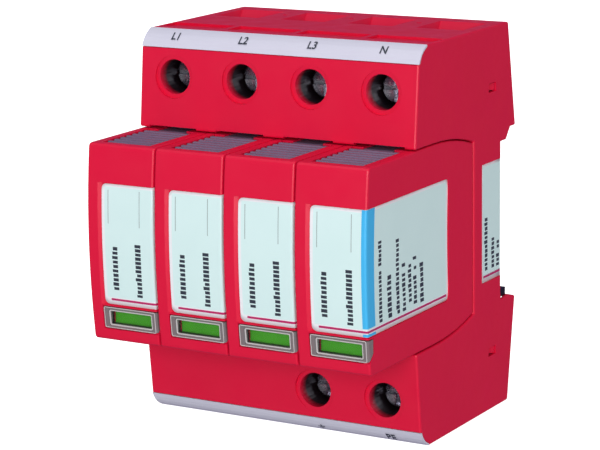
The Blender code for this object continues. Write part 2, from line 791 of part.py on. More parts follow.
def build_strips():
    """The white marking strips on the curved front edges."""
    for side, name in ((1, "marking_strip_upper"), (-1, "marking_strip_lower")):
        outer = strip_arc()
        inner = strip_arc(STRIP_THICKNESS)
        inner[-1] = (-TOP_DEPTH - STRIP_GAP, inner[-1][1])
        outer[-1] = (-TOP_DEPTH - STRIP_GAP, outer[-1][1])
        floor = outer[0][1] + STRIP_GAP
        outer[0] = (outer[0][0], floor)
        inner[0] = (inner[0][0], floor)
        outline = outer + inner[::-1]
        strip = prism(name, mirrored(outline, side), -HALF_WIDTH, HALF_WIDTH)
        finished(strip, name, "white_strip")


def cover_outline():
    """Side view of the rear cover: it follows the rear faces above the rail and is flat below."""
    top = CHAMBER_HIGH - GAP
    step = COVER_STEP - GAP
    inner = -COVER_THICKNESS + GAP
    return [
        (inner, -top),
        (inner, step),
        (rear_line(step) - COVER_THICKNESS + GAP, step),
        (rear_line(top) - COVER_THICKNESS + GAP, top),
        (rear_line(top), top),
        (REAR_FOOT_DEPTH, REAR_FOOT_HEIGHT),
        (REAR_FOOT_DEPTH - REAR_FOOT_HEIGHT + SEAT_EDGE, REAR_FOOT_HEIGHT),
        (LIP_REAR, SEAT_EDGE),
        (-SEAT_RISE, SEAT_EDGE),
        (-SEAT_RISE, -top),
    ]


def build_cover():
    half = INNER_HALF_WIDTH - GAP
    cover = prism("rear_cover", cover_outline(), -half, half)
    for index in (-1, 0, 1):
        middle = index * HOOK_SPACING
        fuse(cover, prism(f"hook_{index}", hook_outline(), middle - HOOK_LENGTH / 2, middle + HOOK_LENGTH / 2))
    for side in (1, -1):
        fuse(cover, guide_block(side))
        for end in (1, -1):
            fuse(cover, snap_arm(side, end))
    seat = rectangle(-COVER_THICKNESS / 2, -SEAT_HALF_HEIGHT, 0.0, SEAT_HALF_HEIGHT)
    fuse(cover, spring_lug(FOOT_WINDOW_HALF_WIDTH - GAP), prism("rail_seat", seat, -half, half))
    return finished(cover, "rear_cover", "red_polyamide")


def hook_outline():
    """Side view of a fixed hook that grips behind the upper lip of the rail."""
    tip = SEAT_EDGE - HOOK_BITE
    rear = LIP_REAR + HOOK_THICKNESS
    return [
        (LIP_REAR, SEAT_EDGE + COVER_THICKNESS / 2),
        (LIP_REAR, tip + HOOK_RAMP),
        (LIP_REAR + HOOK_RAMP, tip),
        (rear, tip + HOOK_RAMP),
        (rear, REAR_FOOT_HEIGHT + COVER_THICKNESS / 2),
    ]


def guide_block(side):
    """A rib block of the cover beside the foot's tail, with the lip that holds the tail in."""
    inner = COVER_GUIDE_HALF_SPAN
    outer = INNER_HALF_WIDTH - GAP
    top = -SEAT_EDGE - FOOT_EAR_HEIGHT - FOOT_TRAVEL - 3 * GAP
    low = -CHAMBER_HIGH + GAP
    outline = [
        (-COVER_THICKNESS / 2, low),
        (rear_line(-low), low),
        (rear_line(-top), top),
        (-COVER_THICKNESS / 2, top),
    ]
    x0, x1 = sorted((side * inner, side * outer))
    body = prism(f"guide_{side}", outline, x0, x1)
    groove_x = sorted((side * (inner - OVERCUT), side * (inner + OVERCUT / 2)))
    groove = block(
        f"groove_{side}",
        (groove_x[0], FOOT_FRONT_DEPTH - GAP, low - OVERCUT),
        (groove_x[1], FOOT_FRONT_DEPTH + FOOT_THICKNESS / 2 + GAP, top + OVERCUT),
    )
    cut(body, groove)
    return body


def snap_arm(side, end):
    """An arm that reaches forwards from the cover and clicks into a side window."""
    inner = INNER_HALF_WIDTH - GAP
    outer = INNER_HALF_WIDTH + SNAP_ARM
    z0 = end * SNAP_HEIGHT - SNAP_WIDTH / 2 + GAP
    z1 = end * SNAP_HEIGHT + SNAP_WIDTH / 2 - GAP
    front = -SNAP_FRONT_DEPTH + GAP
    rear = rear_line(SNAP_HEIGHT) - COVER_THICKNESS / 2 if end == 1 else 0.0
    back = front + SNAP_LENGTH - 2 * GAP
    plan = [
        (side * (inner - SNAP_ROOT), rear),
        (side * (inner - SNAP_ROOT), front),
        (side * outer, front),
        (side * (outer + SNAP_NOSE), back),
        (side * outer, back),
        (side * outer, rear),
    ]
    return prism(f"snap_arm_{side}_{end}", plan, z0, z1, "Z")


def spring_lug(half):
    """The lug that stands in the foot's window and carries the lower end of the spring."""
    top = -FOOT_WINDOW_TOP - SPRING_LENGTH - 2 * GAP
    return block("spring_lug", (-half, -COVER_THICKNESS / 2, top - LUG_HEIGHT), (half, FOOT_REAR, top))


def build_foot():
    """The sliding foot with its nose behind the rail's lower lip and its tail down to the end face."""
    rear = FOOT_REAR
    ear = HALF_WIDTH - FOOT_EAR_INSET
    ear_low = -SEAT_EDGE - FOOT_EAR_HEIGHT
    bottom = -FOOT_BOTTOM
    foot = block("rail_foot", (-ear, FOOT_FRONT_DEPTH, ear_low), (ear, rear, -SEAT_EDGE))
    tail_half = COVER_GUIDE_HALF_SPAN - GAP
    tail = block("foot_tail", (-tail_half, FOOT_FRONT_DEPTH, bottom), (tail_half, rear, ear_low + GAP))
    runner_half = COVER_GUIDE_HALF_SPAN + OVERCUT / 2 - GAP
    runner_top = ear_low + GAP
    runner = block(
        "foot_runner",
        (-runner_half, FOOT_FRONT_DEPTH, bottom + FOOT_TRAVEL),
        (runner_half, FOOT_FRONT_DEPTH + FOOT_THICKNESS / 2, runner_top),
    )
    tip = -SEAT_EDGE + HOOK_BITE
    nose_outline = [
        (LIP_REAR, -SEAT_EDGE - FOOT_EAR_HEIGHT / 2),
        (LIP_REAR, tip - HOOK_RAMP / 2),
        (LIP_REAR + HOOK_RAMP / 2, tip),
        (rear, tip - HOOK_BITE),
        (rear, -SEAT_EDGE - FOOT_EAR_HEIGHT / 2),
    ]
    nose = prism("foot_nose", nose_outline, -FOOT_NOSE_HALF_SPAN, FOOT_NOSE_HALF_SPAN)
    fuse(foot, tail, runner, nose)
    window = block(
        "foot_window",
        (-FOOT_WINDOW_HALF_WIDTH, -OVERCUT, -FOOT_WINDOW_LOW),
        (FOOT_WINDOW_HALF_WIDTH, rear + OVERCUT, -FOOT_WINDOW_TOP),
    )
    slot_top = bottom + FOOT_SLOT_HEIGHT + FOOT_RIM
    slot = block(
        "foot_slot",
        (-FOOT_SLOT_WIDTH / 2, -OVERCUT, slot_top - FOOT_SLOT_HEIGHT),
        (FOOT_SLOT_WIDTH / 2, rear + OVERCUT, slot_top),
    )
    cut(foot, window, slot)
    return finished(foot, "rail_foot", "black_polyamide")


def build_spring():
    """The coil spring between the cover's lug and the top of the foot's window."""
    curve = bpy.data.curves.new("foot_spring", "CURVE")
    curve.dimensions = "3D"
    curve.bevel_depth = SPRING_WIRE
    curve.bevel_resolution = 0
    curve.use_fill_caps = True
    count = SPRING_TURNS * SPRING_STEPS
    spline = curve.splines.new("POLY")
    spline.points.add(count)
    length = SPRING_LENGTH - 2 * SPRING_WIRE
    for step in range(count + 1):
        angle = 2 * math.pi * step / SPRING_STEPS
        x = SPRING_RADIUS * math.cos(angle)
        y = SPRING_RADIUS * math.sin(angle)
        spline.points[step].co = (x, y, length * step / count, 1.0)
    spring = bpy.data.objects.new("foot_spring", curve)
    middle_y = FOOT_FRONT_DEPTH + FOOT_THICKNESS / 2
    spring.location = (0.0, middle_y, -FOOT_WINDOW_TOP - SPRING_LENGTH - GAP + SPRING_WIRE)
    bpy.context.scene.collection.objects.link(spring)
    curve.materials.append(material("spring_steel"))
    return spring


def terminal_places():
    """(name, x, side) of each terminal: one above every pole, and two for the earth below."""
    upper = [(mark, x, 1) for mark, x in zip(("L1", "L2", "L3", "N"), POLE_X)]
    return upper + [("PE_left", POLE_X[-2], -1), ("PE_right", POLE_X[-1], -1)]


def screw_mesh():
    """A clamping screw along +Y from its head, with a combination slot."""
    tip = BAR_FRONT - GAP - HEAD_FRONT
    profile = [
        (0.0, SCREW_HEAD_RADIUS - SCREW_CHAMFER),
        (SCREW_CHAMFER, SCREW_HEAD_RADIUS),
        (SCREW_HEAD_HEIGHT, SCREW_HEAD_RADIUS),
        (SCREW_HEAD_HEIGHT, SCREW_SHANK_RADIUS),
        (tip - SCREW_CHAMFER, SCREW_SHANK_RADIUS),
        (tip, SCREW_SHANK_RADIUS - SCREW_CHAMFER),
    ]
    screw = turned("screw_master", profile, sides=SHANK_SIDES * 2)
    half = SCREW_SLOT_WIDTH / 2
    wide = block("slot_wide", (-SCREW_HEAD_RADIUS * 2, -OVERCUT, -half), (SCREW_HEAD_RADIUS * 2, SCREW_SLOT_DEPTH, half))
    cross = block("slot_cross", (-half, -OVERCUT, -SCREW_CROSS_HALF), (half, SCREW_SLOT_DEPTH, SCREW_CROSS_HALF))
    cut(screw, wide, cross)
    return settled(screw)


def cage_mesh():
    """A clamp cage round the conductor bar: threaded front wall, two sides and a rear jaw."""
    depth = CAGE_REAR - CAGE_FRONT
    plan = rounded(rectangle(-CAGE_HALF_WIDTH, 0.0, CAGE_HALF_WIDTH, depth), CAGE_CORNER)
    half = CAGE_HEIGHT / 2
    cage = prism("cage_master", plan, -half, half, "Z")
    inner = CAGE_HALF_WIDTH - CAGE_SIDE_WALL
    mouth = rounded(rectangle(-inner, CAGE_NUT_THICKNESS, inner, depth - CAGE_REAR_WALL), CAGE_CORNER / 2)
    bore = [(-OVERCUT, SCREW_SHANK_RADIUS + GAP), (CAGE_NUT_THICKNESS + OVERCUT, SCREW_SHANK_RADIUS + GAP)]
    cut(cage, prism("cage_mouth", mouth, -half - OVERCUT, half + OVERCUT, "Z"))
    cut(cage, turned("cage_bore", bore, sides=SHANK_SIDES))
    return settled(cage)


def build_terminals():
    screw = screw_mesh()
    cage = cage_mesh()
    for mark, x, side in terminal_places():
        z = side * TERMINAL_HEIGHT
        copy_of(screw, f"terminal_screw_{mark}", "zinc_plated_steel", (x, HEAD_FRONT, z))
        copy_of(cage, f"clamp_cage_{mark}", "zinc_plated_steel", (x, CAGE_FRONT, z))


def bar_path(side, end):
    """Middle line of a conductor bar from its terminal end to a height behind the bay floor."""
    front = BAR_FRONT + BAR_THICKNESS / 2
    rear = -BAR_REAR_DEPTH - BAR_THICKNESS / 2
    top = side * (CHAMBER_HIGH - GAP)
    run = side * (CHAMBER_LOW + GAP + BAR_THICKNESS / 2)
    near = BAR_BEND
    return [
        (front, top),
        (front, run + side * near),
        (front + near, run),
        (rear - near, run),
        (rear, run - side * near),
        (rear, end),
    ]


def fork(name, x, z, spread=BAR_HALF_WIDTH):
    """Two tines that take a blade between them, standing on a bar behind the bay floor."""
    rear = -BAR_REAR_DEPTH - BAR_THICKNESS / 2
    front = rear - FORK_LENGTH
    near = BLADE_THICKNESS / 2 + GAP
    far = near + FORK_WALL
    outline = [
        (rear, z - far),
        (front, z - far),
        (front, z - near),
        (rear - BAR_THICKNESS, z - near),
        (rear - BAR_THICKNESS, z + near),
        (front, z + near),
        (front, z + far),
        (rear, z + far),
    ]
    return prism(name, outline, x - spread, x + spread)


def build_line_bars():
    """The three bars between a line terminal and the upper contact of its module."""
    fork_end = BLADE_Z - FORK_REACH
    for index in range(POLES - 1):
        x = POLE_X[index]
        outline = bent_strip(bar_path(1, fork_end), BAR_THICKNESS)
        bar = prism(f"line_bar_{index}", outline, x - BAR_HALF_WIDTH, x + BAR_HALF_WIDTH)
        fuse(bar, fork(f"line_fork_{index}", x, BLADE_Z))
        finished(bar, f"contact_bar_L{index + 1}", "nickel_plated_copper")


def build_neutral_bar():
    """The bar from the neutral terminal to the earthing module and to the three line modules."""
    x = POLE_X[-1]
    low = BUS_CENTRE - BUS_HEIGHT / 2
    high = BUS_CENTRE + BUS_HEIGHT / 2
    outline = bent_strip(bar_path(1, low), BAR_THICKNESS)
    bar = prism("neutral_strip", outline, x - BAR_HALF_WIDTH, x + BAR_HALF_WIDTH)
    fuse(bar, fork("neutral_fork", x, BLADE_Z))
    rear = -BAR_REAR_DEPTH
    front = rear - BAR_THICKNESS
    left = POLE_X[0] - BAR_HALF_WIDTH
    fuse(bar, block("neutral_bus", (left, front, low), (x, rear, high)))
    end = -BLADE_Z - FORK_REACH
    for index in range(POLES - 1):
        middle = POLE_X[index]
        leg = block(
            f"neutral_leg_{index}",
            (middle - BAR_HALF_WIDTH, front, end),
            (middle + BAR_HALF_WIDTH, rear, low + BAR_THICKNESS),
        )
        fuse(bar, leg, fork(f"neutral_fork_{index}", middle, -BLADE_Z))
    return finished(bar, "neutral_bar", "nickel_plated_copper")


def build_earth_bar():
    """The bar from the earthing module's lower contact to both earth terminals."""
    x = POLE_X[-1]
    end = -BLADE_Z + FORK_REACH
    outline = bent_strip(bar_path(-1, end), BAR_THICKNESS)
    bar = prism("earth_strip", outline, x - BAR_HALF_WIDTH, x + BAR_HALF_WIDTH)
    fuse(bar, fork("earth_fork", x, -BLADE_Z))
    left = POLE_X[-2]
    high = -CHAMBER_LOW - GAP
    low = high - BAR_THICKNESS
    link_rear = BAR_REAR + BAR_HALF_WIDTH
    path = bar_path(-1, end)[:3] + [(link_rear, high - BAR_THICKNESS / 2)]
    branch = bent_strip(path, BAR_THICKNESS)
    fuse(bar, block("earth_link", (left, BAR_REAR, low), (x, link_rear, high)))
    fuse(bar, prism("earth_branch", branch, left - BAR_HALF_WIDTH, left + BAR_HALF_WIDTH))
    return finished(bar, "earth_bar", "nickel_plated_copper")


def build_signal_connector():
    """The fixed header and the plug of the remote signalling contact, in the lower end face."""
    half = signal_half_width()
    x = signal_x()
    rear = -SIGNAL_FRONT_DEPTH + SIGNAL_THICKNESS
    plug_low = -HALF_HEIGHT + SIGNAL_PLUG_SINK
    plug_high = plug_low + SIGNAL_PLUG_HEIGHT
    top = -SIGNAL_TOP - GAP
    header = block("header", (x - half, -SIGNAL_FRONT_DEPTH, plug_high + GAP), (x + half, rear, top))
    plug = block("plug", (-half, -SIGNAL_FRONT_DEPTH, plug_low), (half, rear, plug_high), (x, 0.0, 0.0))
    middle = (-SIGNAL_FRONT_DEPTH + rear) / 2
    for index in range(SIGNAL_POLES):
        offset = (index - (SIGNAL_POLES - 1) / 2) * SIGNAL_PITCH
        pin = SIGNAL_PIN_HALF
        low = plug_high - SIGNAL_PIN_LENGTH
        fuse(
            header,
            block(
                f"signal_pin_{index}",
                (x + offset - pin, middle - pin, low),
                (x + offset + pin, middle + pin, plug_high + 2 * GAP),
            ),
        )
        wide = pin + GAP
        socket = block(
            f"signal_socket_{index}",
            (offset - wide, middle - wide, low - GAP),
            (offset + wide, middle + wide, plug_high + OVERCUT),
            (x, 0.0, 0.0),
        )
        wire = [(plug_low - OVERCUT, SIGNAL_WIRE_RADIUS), (low - GAP - BAR_THICKNESS, SIGNAL_WIRE_RADIUS)]
        way = turned(f"signal_wire_{index}", wire, "Z", (offset, middle), SHANK_SIDES, (x, 0.0, 0.0))
        cut(plug, socket, way)
    finished(header, "signal_header", "black_polyamide")
    finished(plug, "signal_plug", "black_polyamide")


def module_outline():
    """Side view of a module: bowed front, rounded front edges and rear corners that curve in."""
    front = -MODULE_FRONT_DEPTH
    high = HALF_MODULE
    corner = MODULE_CORNER
    rear = rear_corner()
    rear[-1] = (MODULE_REAR, rear[-1][1])
    edge = (front + corner, high)
    bow = bowed((front, high - corner), (front, -high + corner), -MODULE_BULGE, BOW_STEPS)
    turn = [quadratic(edge, (front, high), bow[0], step / TURN_STEPS) for step in range(1, TURN_STEPS)]
    upper = turn[::-1] + [edge] + rear
    lower = [(y, -z) for y, z in upper[::-1]]
    return lower + bow[::-1] + upper


def housing_mesh():
    """The module's moulded case, open at the rear, with its latch pockets, label field and window."""
    outline = module_outline()
    case = prism("case_master", outline, -HALF_BODY, HALF_BODY)
    round_edges(case, EDGE_ROUND, 2)
    inner = HALF_BODY - MODULE_WALL
    cavity = block("cavity", (-inner, CAVITY_FRONT, -CAVITY_TOP), (inner, MODULE_REAR + OVERCUT, CAVITY_TOP))
    cut(case, cavity)
    for side in (1, -1):
        cut_pad_pocket(case, side)
    front = -MODULE_FRONT_DEPTH - MODULE_BULGE
    deep = front - OVERCUT
    right = HALF_BODY + OVERCUT
    cut(case, label_field(right))
    side_label = rounded_right(deep, -LABEL_HALF_HEIGHT, -LABEL_REAR, LABEL_HALF_HEIGHT, LABEL_CORNER)
    cut(case, prism("label_side", side_label, HALF_BODY - LABEL_RECESS, right))
    cut(case, lens_space(GAP / 2))
    sight = block(
        "sight",
        (-SIGHT_LEFT, deep, -WINDOW_TOP - WINDOW_HEIGHT + SIGHT_MARGIN),
        (SIGHT_RIGHT, CAVITY_FRONT + GAP, -WINDOW_TOP - SIGHT_MARGIN),
    )
    cut(case, sight)
    add_flag_guide(case)
    return settled(case)


def add_flag_guide(case):
    """The wall behind the flag, the room for its lower edge, and two ribs beside its stem."""
    inner = HALF_BODY - MODULE_WALL / 2
    rear = FLAG_FRONT + FLAG_THICKNESS + GAP
    low = -CAVITY_TOP - LATCH_FLOOR / 2
    backing = (-inner, rear - GAP, low), (inner, rear + FLAG_BACKING, -CAVITY_TOP + FLAG_BACKING_RISE)
    fuse(case, block("flag_backing", *backing))
    way_low = FLAG_Z - FLAG_HALF_HEIGHT - GAP
    way = (-SIGHT_LEFT, CAVITY_FRONT, way_low), (SIGHT_RIGHT, rear, -CAVITY_TOP + FLAG_BACKING_RISE + GAP)
    cut(case, block("flag_way", *way))
    near = FLAG_STEM_WIDTH / 2 + GAP
    start = FLAG_TOP + FLAG_TRAVEL + GAP
    end = start + FLAG_STEM_HEIGHT - FLAG_TRAVEL
    for side in (1, -1):
        x0, x1 = sorted((side * near, side * (near + FLAG_GUIDE)))
        fuse(case, block(f"flag_rib_{side}", (x0, CAVITY_FRONT - GAP, start), (x1, rear, end)))


def label_field(right):
    """The room of the label on the bowed front: its left wall slopes, its right side is open."""
    span = HALF_MODULE - MODULE_CORNER
    past = -LABEL_LEFT - LABEL_SLOPE * (1 + OVERCUT / LABEL_RECESS)
    shape = bmesh.new()
    rings = []
    for step in range(LABEL_STEPS + 1):
        z = LABEL_HALF_HEIGHT * (2 * step / LABEL_STEPS - 1)
        face = -MODULE_FRONT_DEPTH - MODULE_BULGE * (1 - (z / span) ** 2)
        floor = face + LABEL_RECESS
        plan = [
            (past, face - OVERCUT),
            (-LABEL_LEFT, floor),
            (right, floor),
            (right, face - OVERCUT),
        ]
        rings.append([shape.verts.new((x, y, z)) for x, y in plan])
    shape.faces.new(rings[0])
    shape.faces.new(rings[-1])
    for before, later in zip(rings, rings[1:]):
        for index in range(len(before)):
            after = (index + 1) % len(before)
            shape.faces.new((before[index], before[after], later[after], later[index]))
    return object_of("label_front", shape)


def rounded_right(a0, b0, a1, b1, radius):
    """A rectangle whose two corners on the high side of the first axis are round."""
    whole = rounded(rectangle(a0, b0, a1, b1), radius)
    per_corner = len(whole) // 4
    return [(a0, b0)] + whole[per_corner:3 * per_corner] + [(a0, b1)]


def recessed_front(depth):
    """The module's side outline with its bowed front face moved in by a depth."""
    front = -MODULE_FRONT_DEPTH + depth
    high = HALF_MODULE * 2
    ends = ((front, HALF_MODULE - MODULE_CORNER), (front, MODULE_CORNER - HALF_MODULE))
    bow = bowed(*ends, -MODULE_BULGE, BOW_STEPS)
    return [(0.0, -high), (front, -high)] + bow[::-1] + [(front, high), (0.0, high)]


def lens_plan(grow):
    """Plan view of the window piece: across the front and round the right-hand edge."""
    front = -MODULE_FRONT_DEPTH - MODULE_BULGE - OVERCUT
    inner = -MODULE_FRONT_DEPTH - MODULE_BULGE / 2 + LENS_THICKNESS + grow
    side = HALF_BODY - LENS_THICKNESS - grow
    rear = -MODULE_FRONT_DEPTH + WINDOW_WRAP + grow
    right = HALF_BODY + OVERCUT
    return [
        (-WINDOW_LEFT - grow, front),
        (right, front),
        (right, rear),
        (side, rear),
        (side, inner),
        (-WINDOW_LEFT - grow, inner),
    ]


def lens_space(grow):
    """The room of the window piece, whose side part has its lower rear corner cut off."""
    low = -WINDOW_TOP - WINDOW_HEIGHT - grow
    high = -WINDOW_TOP + grow
    space = prism("lens_space", lens_plan(grow), low, high, "Z")
    rear = -MODULE_FRONT_DEPTH + WINDOW_WRAP + grow
    past = low - OVERCUT
    slope = WINDOW_CHAMFER + OVERCUT
    corner = [(rear + OVERCUT, past), (rear + OVERCUT, past + slope + OVERCUT), (rear - slope, past)]
    side = HALF_BODY - LENS_THICKNESS - grow - GAP
    boolean(space, prism("lens_corner", corner, side, HALF_BODY * 2), "DIFFERENCE")
    return space


def lens_mesh():
    """The clear window: flush with the case, with a raised frame round its middle."""
    lens = prism("lens_master", module_outline(), -HALF_BODY, HALF_BODY)
    round_edges(lens, EDGE_ROUND, 2)
    boolean(lens, lens_space(-GAP / 2), "INTERSECT")
    low = -WINDOW_TOP - WINDOW_HEIGHT + LENS_FRAME
    dish_outline = rectangle(-WINDOW_LEFT + LENS_FRAME * 2, low, HALF_BODY - LENS_FRAME * 2, -WINDOW_TOP - LENS_FRAME)
    deep = -MODULE_FRONT_DEPTH - MODULE_BULGE - OVERCUT
    dish = prism("lens_dish", dish_outline, deep, -MODULE_FRONT_DEPTH + MODULE_CORNER, "Y")
    boolean(dish, prism("lens_floor", recessed_front(LENS_DISH), -HALF_BODY * 2, HALF_BODY * 2), "DIFFERENCE")
    cut(lens, dish)
    return settled(lens)


def cut_pad_pocket(case, side):
    """The pocket that a release latch lies in, with the holes of its pins."""
    half = PAD_HALF_WIDTH + GAP
    front = -PAD_FRONT_DEPTH - GAP
    rear = -PAD_REAR_DEPTH + GAP
    outer = HALF_MODULE + OVERCUT
    outline = [(front, POCKET_START), (rear, POCKET_FLOOR), (rear, outer), (front, outer)]
    arm = rectangle(-PAD_REAR_DEPTH - OVERCUT, POCKET_FLOOR, -LATCH_REAR_DEPTH + GAP, HALF_MODULE + OVERCUT)
    arm_half = LATCH_ARM_HALF_WIDTH + GAP
    reach = PAD_HALF_WIDTH + LATCH_PIN_LENGTH + GAP
    holes = [(-reach, LATCH_PIN_RADIUS + GAP), (reach, LATCH_PIN_RADIUS + GAP)]
    cut(
        case,
        prism(f"pad_pocket_{side}", mirrored(outline, side), -half, half),
        prism(f"arm_pocket_{side}", mirrored(arm, side), -arm_half, arm_half),
        turned(f"pin_holes_{side}", holes, "X", (LATCH_PIN_Y, side * LATCH_PIN_Z), SHANK_SIDES),
    )


def latch_outline():
    """Side view of the ribbed pad, about the latch's pin."""
    top = PAD_TOP - LATCH_PIN_Z
    low = top - PAD_THICKNESS
    front = -PAD_FRONT_DEPTH - LATCH_PIN_Y
    rear = -PAD_REAR_DEPTH - LATCH_PIN_Y
    points = [(front, low), (rear, low), (rear, top)]
    first = (front + rear) / 2 + (RIB_COUNT - 1) * RIB_PITCH / 2
    for index in range(RIB_COUNT):
        middle = first - index * RIB_PITCH
        points += [
            (middle + RIB_WIDTH / 2, top),
            (middle + RIB_WIDTH / 4, top + RIB_HEIGHT),
            (middle - RIB_WIDTH / 4, top + RIB_HEIGHT),
            (middle - RIB_WIDTH / 2, top),
        ]
    return points + [(front, top)]


def latch_mesh(side):
    """A release latch: ribbed pad, pins at its front, arm and nose at its rear."""
    pad = prism("latch_master", mirrored(latch_outline(), side), -PAD_HALF_WIDTH, PAD_HALF_WIDTH)
    arm_top = HALF_MODULE - LATCH_PIN_Z - GAP
    arm_low = arm_top - LATCH_ARM_THICKNESS
    start = -PAD_REAR_DEPTH - LATCH_PIN_Y - OVERCUT / 2
    end = -LATCH_REAR_DEPTH - LATCH_PIN_Y
    nose = end - LATCH_NOSE_LENGTH
    arm = [
        (start, arm_low),
        (end, arm_low),
        (end, arm_top + GAP),
        (nose + LATCH_NOSE_LENGTH / 3, arm_top + LATCH_NOSE_RISE),
        (nose, arm_top),
        (start, arm_top),
    ]
    half = LATCH_ARM_HALF_WIDTH
    reach = PAD_HALF_WIDTH + LATCH_PIN_LENGTH
    pins = [(-reach, LATCH_PIN_RADIUS), (reach, LATCH_PIN_RADIUS)]
    fuse(pad, prism("latch_arm", mirrored(arm, side), -half, half))
    fuse(pad, turned("latch_pins", pins, "X", (0.0, 0.0), SHANK_SIDES))
    return settled(pad)


def plug_base_mesh():
    """The plate that closes a module's rear, with slots for its two blades and a rim inside."""
    half = HALF_BODY - MODULE_WALL - GAP
    high = CAVITY_TOP - GAP
    front = MODULE_REAR - PLUG_BASE_THICKNESS
    base = block("plug_base_master", (-half, front - PLUG_BASE_RIB, -high), (half, MODULE_REAR, high))
    inner = half - MODULE_WALL
    deep = (-inner, front - PLUG_BASE_RIB - OVERCUT, -high + MODULE_WALL)
    cut(base, block("plug_base_space", deep, (inner, front, high - MODULE_WALL)))
    wide = BLADE_HALF_WIDTH + GAP
    reach = BLADE_THICKNESS / 2 + GAP
    for side in (1, -1):
        middle = side * BLADE_Z
        slot = block(
            f"plug_slot_{side}",
            (-wide, front - OVERCUT, middle - reach),
            (wide, MODULE_REAR + OVERCUT, middle + reach),
        )
        cut(base, slot)
    return settled(base)


def blade_outline(side, end):
    """Side view of a blade from its tip to a depth inside the module."""
    half = BLADE_THICKNESS / 2
    tip = -BAY_DEPTH + BLADE_REACH
    z = side * BLADE_Z
    return [
        (end, z - half),
        (tip - half, z - half),
        (tip, z - half / 3),
        (tip, z + half / 3),
        (tip - half, z + half),
        (end, z + half),
    ]


def tongue_mesh():
    """The upper blade with the sprung tongue that is soldered to the disc."""
    bend = -DISC_REAR_DEPTH + BLADE_THICKNESS * 2
    blade = prism("tongue_master", blade_outline(1, bend), -BLADE_HALF_WIDTH, BLADE_HALF_WIDTH)
    lift = TONGUE_LIFT
    path = [
        (bend + BLADE_THICKNESS, BLADE_Z),
        (bend, BLADE_Z),
        (bend - lift, BLADE_Z + lift),
        (bend - lift - TONGUE_LENGTH, BLADE_Z + lift),
    ]
    fuse(blade, prism("tongue", bent_strip(path, BLADE_THICKNESS), -TONGUE_HALF_WIDTH, TONGUE_HALF_WIDTH))
    return settled(blade)


def disc_top():
    return BLADE_Z + TONGUE_LIFT - BLADE_THICKNESS / 2 - GAP


def disc_mesh():
    """The varistor block with the lower blade welded to it."""
    high = disc_top()
    side_view = rounded(
        rectangle(-DISC_FRONT_DEPTH, -BLADE_Z - BLADE_THICKNESS, -DISC_REAR_DEPTH, high), DISC_CORNER
    )
    disc = prism("disc_master", side_view, -DISC_HALF_WIDTH, DISC_HALF_WIDTH)
    round_edges(disc, EDGE_ROUND, 1)
    end = -DISC_REAR_DEPTH - DISC_CORNER
    z_blade = blade_outline(-1, end)
    fuse(disc, prism("disc_blade", z_blade, -BLADE_HALF_WIDTH, BLADE_HALF_WIDTH))
    return settled(disc)


def gap_mesh():
    """The gas-filled spark gap of the earthing module, with the lower blade welded to it."""
    radius = DISC_HALF_WIDTH
    high = disc_top()
    low = -BLADE_Z - BLADE_THICKNESS
    rim = radius - BLADE_THICKNESS
    third = (high - low) / 3
    profile = [
        (low, rim),
        (low, radius),
        (low + third / 2, radius),
        (low + third / 2, rim),
        (high - third / 2, rim),
        (high - third / 2, radius),
        (high, radius),
        (high, rim / 2),
    ]
    middle = -DISC_REAR_DEPTH - TONGUE_LIFT - TONGUE_LENGTH / 2
    tube = turned("gap_master", profile, "Z", (0.0, middle), HOLE_SIDES)
    fuse(tube, prism("gap_blade", blade_outline(-1, middle), -BLADE_HALF_WIDTH, BLADE_HALF_WIDTH))
    return settled(tube)


def flag_mesh():
    """The indicator flag with its guide stem, about the middle of the flag."""
    half = FLAG_HALF_HEIGHT
    left = -SIGHT_LEFT + GAP
    right = SIGHT_RIGHT - GAP
    plate = block("flag_master", (left, 0.0, -half), (right, FLAG_THICKNESS, half))
    stem = FLAG_STEM_WIDTH / 2
    fuse(plate, block("flag_stem", (-stem, 0.0, 0.0), (stem, FLAG_THICKNESS, half + FLAG_STEM_HEIGHT)))
    return settled(plate)


def build_modules():
    """The four plug-in modules, all of one pattern but for what the last one holds inside."""
    case = housing_mesh()
    lens = lens_mesh()
    plug_base = plug_base_mesh()
    tongue = tongue_mesh()
    disc = disc_mesh()
    tube = gap_mesh()
    flag = flag_mesh()
    latches = {1: latch_mesh(1), -1: latch_mesh(-1)}
    for index, x in enumerate(POLE_X):
        tag = ("L1", "L2", "L3", "NPE")[index]
        at = (x, 0.0, 0.0)
        copy_of(case, f"module_case_{tag}", "red_polyamide", at)
        copy_of(lens, f"module_window_{tag}", "clear_lens", at)
        copy_of(plug_base, f"module_plug_base_{tag}", "dark_red_polyamide", at)
        copy_of(tongue, f"upper_blade_{tag}", "nickel_plated_copper", at)
        if index < POLES - 1:
            copy_of(disc, f"varistor_{tag}", "varistor_coating", at)
        else:
            copy_of(tube, f"spark_gap_{tag}", "spark_gap_ceramic", at)
        copy_of(flag, f"indicator_flag_{tag}", "green_flag", (x, FLAG_FRONT, FLAG_Z))
        for side, word in ((1, "upper"), (-1, "lower")):
            place = (x, LATCH_PIN_Y, side * LATCH_PIN_Z)
            copy_of(latches[side], f"{word}_latch_{tag}", "grey_polyamide", place)


def main():
    clear_scene()
    build_base()
    build_strips()
    build_cover()
    build_foot()
    build_spring()
    build_terminals()
    build_line_bars()
    build_neutral_bar()
    build_earth_bar()
    build_signal_connector()
    build_modules()


main()
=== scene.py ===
"""Dressed scene of the plug-in surge arrester: finishes, labels, print, window parts, light and camera."""

import math

import bmesh
import bpy
from mathutils import Matrix, Vector


